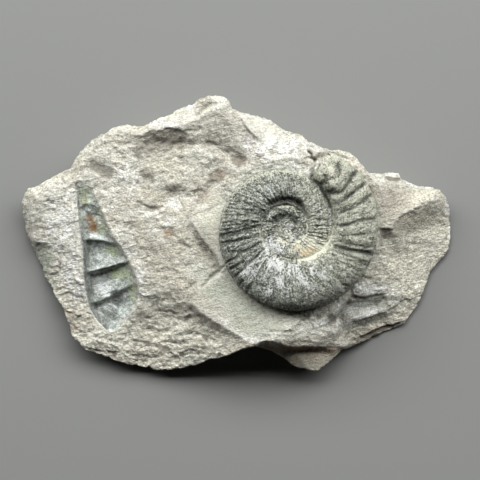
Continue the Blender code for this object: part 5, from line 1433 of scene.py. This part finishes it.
def marl_finish(settings):
    """Pale marl: sandy patches, white powder with painted highlights on the east rim, smudges and brown
    facets that also carry painted shade, darker hollows, a grain partly of painted ledge shade, and the
    mould's lining with painted shade under its ridges.
    """
    made = Finish("marl", 0.92, 0.2)
    patchy = made.noise(90, 5, 0.62)
    speckle = made.noise(900, 4, 0.75)
    fine = made.noise(2300, 2, 0.75, (1.5, 0.9, 1), -0.35)
    hatch = made.noise(1500, 2, 0.7, (4, 1, 1), 0.25)
    raised, plate, lining, powder_and_highlight = made.masks("raised", "plate", "lining", "powder_and_highlight")
    creamy, smudge_and_shade, brown_and_shade, greenish = made.masks("creamy", "smudge_and_shade", "brown_and_shade", "greenish")
    rusty, bright, shaded = made.masks("rusty", "bright", "shaded")
    # Powder, with painted highlights along the east rim
    dust_and_highlight = powder_and_highlight + (patchy - 0.5) * 1.2 + (speckle - 0.5) * 0.9 + (fine - 0.5) * 0.9
    stone = made.coated(
        made.mixed(patchy.between(0.38, 0.62), settings.marl, settings.marl_warm),
        (made.noise(40, 3, 0.5).between(0.45, 0.7) * 0.35, settings.marl_grey),
        ((creamy * (0.5 + patchy * 0.8)).clamped() * 0.9, settings.cream),
        # Grey smudges, partly painted shade
        ((smudge_and_shade * (0.3 + speckle * 0.9)).clamped(), settings.smudge_and_shade),
        (dust_and_highlight.between(0.05, 1.4) * (1 - 0.9 * lining) * 0.85, settings.powder_and_highlight),
        # Brown-grey facets; at the scoop and under ledges this brown is partly painted shade
        ((brown_and_shade * (0.4 + speckle * 0.8)).clamped() * 0.9, settings.brown_and_shade),
        ((greenish * (1 - lining)).clamped() * 0.85, settings.green_plate),
    )
    drawn = made.noise(700, 3, 0.7, (0.45, 1.6, 1), 0.6)
    mottle = made.noise(420, 4, 0.65) * 0.55 + fine * 0.15 + drawn * 0.3
    blue = made.coated(
        made.mixed(mottle.between(0.4, 0.58), settings.lining_dark, settings.lining),
        ((greenish + (speckle - 0.5) * 2).between(0.1, 1.0) * 0.85, settings.mould_green),
        ((bright + (speckle - 0.5) * 1.5).between(0.15, 0.9) * 0.9, settings.lining_bright),
        # Painted shade under the mould's ridges and along its left wall
        ((shaded + (speckle - 0.5) * 1.2).between(0.1, 1.2) * 0.85, settings.lining_shade),
    )
    # Darker where a place lies below the mean height round it
    dirt_and_shade = (-raised).between(0.05, 0.9) * (1 - 0.5 * lining) * (1 - powder_and_highlight.between(0.9, 1.5) * 0.8)
    colour = made.coated(
        stone,
        (lining, blue),
        ((rusty * (0.3 + speckle * 1.1)).clamped(), settings.rust),
        (dirt_and_shade * 0.5, settings.dirt_and_shade),
        (raised.between(0.15, 0.9) * 0.25 * (1 - lining), settings.powder_and_highlight),
    )
    # Fine grain; the hatch's short dark strokes stand in for the shadows of tiny ledges, painted shade
    grain = (fine * 0.45 + hatch * 0.4 + speckle * 0.15).between(0.39, 0.6)
    shade = made.mixed(grain, (0.6, 0.59, 0.57), (1.22, 1.22, 1.22))
    dots = made.noise(1500, 2, 0.7).between(0.55, 0.67) * (1 - plate) * (1 - 0.8 * lining)
    colour = made.coated(
        made.mixed(1 - 0.2 * plate, colour, shade, "MULTIPLY"),
        (dots * 0.5, settings.dirt_and_shade),
        # Painted shade: facets of strength above 0.7 darkened further, at the scoop, under ledges and on
        # undersides
        (brown_and_shade.between(0.7, 1.4) * 0.75, settings.dirt_and_shade),
    )
    rough = (made.noise(1300, 3, 0.8) * 0.8 + hatch * 0.7) * (1 - 0.5 * plate) * (1 - 0.6 * lining)
    rough += fine * 0.6
    made.feed("Base Color", colour)
    made.bump(rough, 0.0005)
    return made.material


def shell_finish(settings):
    """Dark grey calcite: speckle, with a painted highlight on the rib crests and painted shade in the grooves
    and the coil's dark crescent, which is partly dirt; pale streaks, cream seams and amber inside.
    """
    made = Finish("fossil_shell", 0.8, 0.25)
    crest, worn, beige, grit, pale = made.masks("crest", "worn", "beige", "grit", "pale")
    edge, broken, amber, seam = made.masks("edge", "broken", "amber", "seam")
    speckle = made.noise(1700, 3, 0.8)
    salt = made.noise(3300, 2, 0.8)
    blotch = made.noise(420, 4, 0.7)
    # Speckle tone, with the rib crests made lighter as a painted highlight
    speckle_and_crest_light = crest * 0.3 + grit * 0.35 + (speckle - 0.5) * 3.2 + (salt - 0.5) * 3.0 + (blotch - 0.5) * 1.6
    speckle_and_crest_light += worn * 0.25 + beige * 0.15
    grain = (speckle - 0.5) * 2.4 + (salt - 0.5) * 2.4 + grit * 0.4
    dark = made.mixed(beige, settings.shell_dark, settings.shell_dark_warm)
    light = made.mixed(beige, settings.shell_light, settings.shell_light_warm)
    colour = made.coated(
        made.mixed(speckle_and_crest_light.between(-0.75, 0.9), dark, light),
        ((pale * 0.9 + grain * 1.2 + (blotch - 0.5) * 1.2).between(0.25, 1.0), settings.mineral),
        ((edge * 0.75 + grain * 1.1).between(0.25, 1.05) * 0.8, settings.rim),
        ((broken + grain * 0.8).between(0.15, 0.95) * 0.95, settings.broken),
        ((amber + grain * 0.7).between(0.3, 1.1) * 0.8, settings.amber),
        ((seam + grain * 0.8).between(0.35, 0.95) * 0.9, settings.seam),
        # Painted shade in the grooves and in the coil's dark crescent, there partly dirt
        ((-crest + (speckle - 0.5) * 1.2).between(0.1, 1.0) * 0.7, settings.groove),
    )
    made.feed("Base Color", colour)
    made.bump(made.noise(1100, 4, 0.8) + salt * 0.7, 0.0007)
    return made.material


def table_finish(settings):
    """A plain matt table: its colour and one a little lighter, in broad soft clouds."""
    made = Finish("table", 0.85, 0.2)
    cloud = made.noise(2.2, 1, 0.4).between(0.3, 0.7)
    made.feed("Base Color", made.mixed(cloud, settings.table, tuple(c * 1.05 for c in settings.table)))
    return made.material


# Settings, operators and the panel


def colour(name, words, default):
    """A colour that a user may change."""
    return FloatVectorProperty(
        name=name, description=words, subtype="COLOR", size=3, min=0, max=1, default=default
    )


def length(name, words, default):
    """A length in metres that a user may change."""
    return FloatProperty(name=name, description=words, unit="LENGTH", default=default)


class StoneSettings(bpy.types.PropertyGroup):
    flake_height: length("Flake height", "Height of one flaky ledge", 0.00042)
    grain_height: length("Grain height", "Height of the grain", 0.00032)
    marl: colour("Marl", "The pale sandy stone", (0.545, 0.54, 0.47))
    marl_warm: colour("Warm marl", "Warmer patches of it", (0.49, 0.465, 0.385))
    marl_grey: colour("Grey marl", "Greyer patches of it", (0.43, 0.435, 0.4))
    cream: colour("Cream", "The palest yellowish marl", (0.78, 0.765, 0.64))
    # Its darkness is partly painted shade, at the scoop and under ledges
    brown_and_shade: colour("Brown", "Brown-grey facets", (0.23, 0.215, 0.175))
    # Also the painted highlights along the east rim
    powder_and_highlight: colour("Powder", "White powdery marl", (0.8, 0.81, 0.785))
    # Also painted shade on faces turned from the light
    smudge_and_shade: colour("Smudge", "Grey smudges", (0.24, 0.23, 0.2))
    # For the hollows and the dark dots, and painted shade on the strongest brown facets
    dirt_and_shade: colour("Dirt", "Dirt in the hollows", (0.17, 0.16, 0.135))
    green_plate: colour("Greenish plate", "The smooth plates by the shell", (0.38, 0.41, 0.34))
    lining: colour("Mould lining", "Blue-grey lining of the snail mould", (0.52, 0.56, 0.53))
    lining_bright: colour("Bright lining", "Whitish lining", (0.74, 0.78, 0.77))
    lining_dark: colour("Dark lining", "Darker lining", (0.25, 0.28, 0.26))
    # Painted shade under the mould's ridges and along its left wall
    lining_shade: colour("Shaded lining", "Lining under the ridges", (0.05, 0.052, 0.05))
    mould_green: colour("Green lining", "Green stain in the mould", (0.43, 0.5, 0.33))
    rust: colour("Rust", "Rusty stain", (0.28, 0.17, 0.09))


class ShellSettings(bpy.types.PropertyGroup):
    rib_height: length("Rib height", "From groove to crest at the mouth", 0.0009)
    grit_height: length("Grit height", "Height of the worn grit", 0.00017)
    shell_dark: colour("Dark shell", "Dark speckle", (0.037, 0.042, 0.034))
    shell_dark_warm: colour("Dark beige shell", "Dark speckle by the mouth", (0.085, 0.09, 0.066))
    shell_light: colour("Light shell", "Light speckle", (0.43, 0.455, 0.395))
    shell_light_warm: colour("Light beige shell", "Light speckle by the mouth", (0.62, 0.63, 0.51))
    mineral: colour("Mineral", "Pale mineral in streaks", (0.74, 0.76, 0.74))
    seam: colour("Seam", "Cream seams between whorls", (0.7, 0.7, 0.57))
    rim: colour("Rim", "Pale marl on the shell's outer rim", (0.6, 0.61, 0.49))
    amber: colour("Amber", "Amber tint inside the coil", (0.7, 0.58, 0.38))
    broken: colour("Cream marl", "Marl on the broken mouth and in the seams", (0.76, 0.76, 0.62))
    # Painted shade in the grooves and the coil's crescent, partly dirt
    groove: colour("Groove", "Dark grooves", (0.04, 0.043, 0.036))


class StageSettings(bpy.types.PropertyGroup):
    table: colour("Table", "The plain table", (0.19, 0.194, 0.187))
    light_power: FloatProperty(
        name="Light power", description="Power of the large soft light", unit="POWER", default=26.0
    )
    fill: FloatProperty(
        name="Fill", description="Strength of the light from all round", subtype="FACTOR", default=0.01
    )
    camera_height: length("Camera height", "Camera above the table", 2.0)


def carried(piece, node, material):
    """Puts the finish on a piece, hangs it under the root body, and hides the solid that it stands for."""
    piece.data.materials.append(material)
    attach(piece, "root")
    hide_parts(node)


class FOSSIL_OT_stone(bpy.types.Operator):
    """Builds the piece of marl with its ledges, plates, snail mould and cracks"""

    bl_idname = "fossil.stone"
    bl_label = "Stone"

    def execute(self, context):
        settings = context.scene.fossil_stone
        stone = mesh_object("marl_stone", *stone_mesh(FACE_COLUMNS, FACE_ROWS, settings))
        carried(stone, "rock", marl_finish(settings))
        return {"FINISHED"}


class FOSSIL_OT_shell(bpy.types.Operator):
    """Builds the coiled, ribbed shell"""

    bl_idname = "fossil.shell"
    bl_label = "Shell"

    def execute(self, context):
        settings = context.scene.fossil_shell
        shell = mesh_object("coiled_shell", *shell_mesh(settings))
        carried(shell, "ammonite", shell_finish(settings))
        return {"FINISHED"}


def add_table(settings):
    """A flat square, large enough to fill the picture."""
    corners = np.array([(-1.0, -1, 0), (1, -1, 0), (1, 1, 0), (-1, 1, 0)]) * TABLE_HALF
    table = mesh_object("table", corners, [np.array([[0, 1, 2, 3]])], {})
    table.data.materials.append(table_finish(settings))


def add_lights(settings):
    """One large soft light on the far side, turned to the table's middle, and a weak light from all round."""
    light = bpy.data.objects.new("soft_light", bpy.data.lights.new("soft_light", "AREA"))
    light.data.shape = "RECTANGLE"
    light.data.size, light.data.size_y = LIGHT_SIZE
    light.data.energy = settings.light_power
    light.location = LIGHT_PLACE
    light.rotation_euler = (-math.atan2(LIGHT_PLACE[1], LIGHT_PLACE[2]), 0, 0)
    bpy.context.scene.collection.objects.link(light)
    world = bpy.data.worlds.new("studio")
    world.use_nodes = True
    background = world.node_tree.nodes["Background"]
    background.inputs["Color"].default_value = (1, 1, 1, 1)
    background.inputs["Strength"].default_value = settings.fill
    bpy.context.scene.world = world
    bpy.context.scene.view_settings.view_transform = "Standard"


def add_camera(settings):
    """A camera that looks straight down on the picture's middle, and takes in just its width in steps."""
    camera = bpy.data.objects.new("camera", bpy.data.cameras.new("camera"))
    camera.location = (*plan((PICTURE / 2, PICTURE / 2)), settings.camera_height)
    camera.data.sensor_width = SENSOR
    camera.data.lens = SENSOR * (settings.camera_height - FOCUS_LEVEL) / (PICTURE * STEP)
    bpy.context.scene.collection.objects.link(camera)
    bpy.context.scene.camera = camera


class FOSSIL_OT_stage(bpy.types.Operator):
    """Adds the table, the large soft light from the far side and the camera that looks straight down"""

    bl_idname = "fossil.stage"
    bl_label = "Stage"

    def execute(self, context):
        settings = context.scene.fossil_stage
        add_table(settings)
        add_lights(settings)
        add_camera(settings)
        return {"FINISHED"}


class FOSSIL_PT_panel(bpy.types.Panel):
    """Sizes and colours of the fossil, and buttons that build its pieces"""

    bl_label = "Fossil"
    bl_idname = "FOSSIL_PT_panel"
    bl_space_type = "VIEW_3D"
    bl_region_type = "UI"
    bl_category = "Fossil"

    def draw(self, context):
        for name, group in SETTINGS.items():
            box = self.layout.box()
            for setting in group.__annotations__:
                box.prop(getattr(context.scene, f"fossil_{name}"), setting)
            box.operator(f"fossil.{name}")


SETTINGS = {"stone": StoneSettings, "shell": ShellSettings, "stage": StageSettings}
CLASSES = (*SETTINGS.values(), FOSSIL_OT_stone, FOSSIL_OT_shell, FOSSIL_OT_stage, FOSSIL_PT_panel)


def register():
    for each in CLASSES:
        bpy.utils.register_class(each)
    for name, group in SETTINGS.items():
        setattr(bpy.types.Scene, f"fossil_{name}", PointerProperty(type=group))


def unregister():
    for name in SETTINGS:
        delattr(bpy.types.Scene, f"fossil_{name}")
    for each in reversed(CLASSES):
        bpy.utils.unregister_class(each)


def main():
    register()
    bpy.ops.fossil.stage()
    bpy.ops.fossil.stone()
    bpy.ops.fossil.shell()


if __name__ == "__main__":
    main()
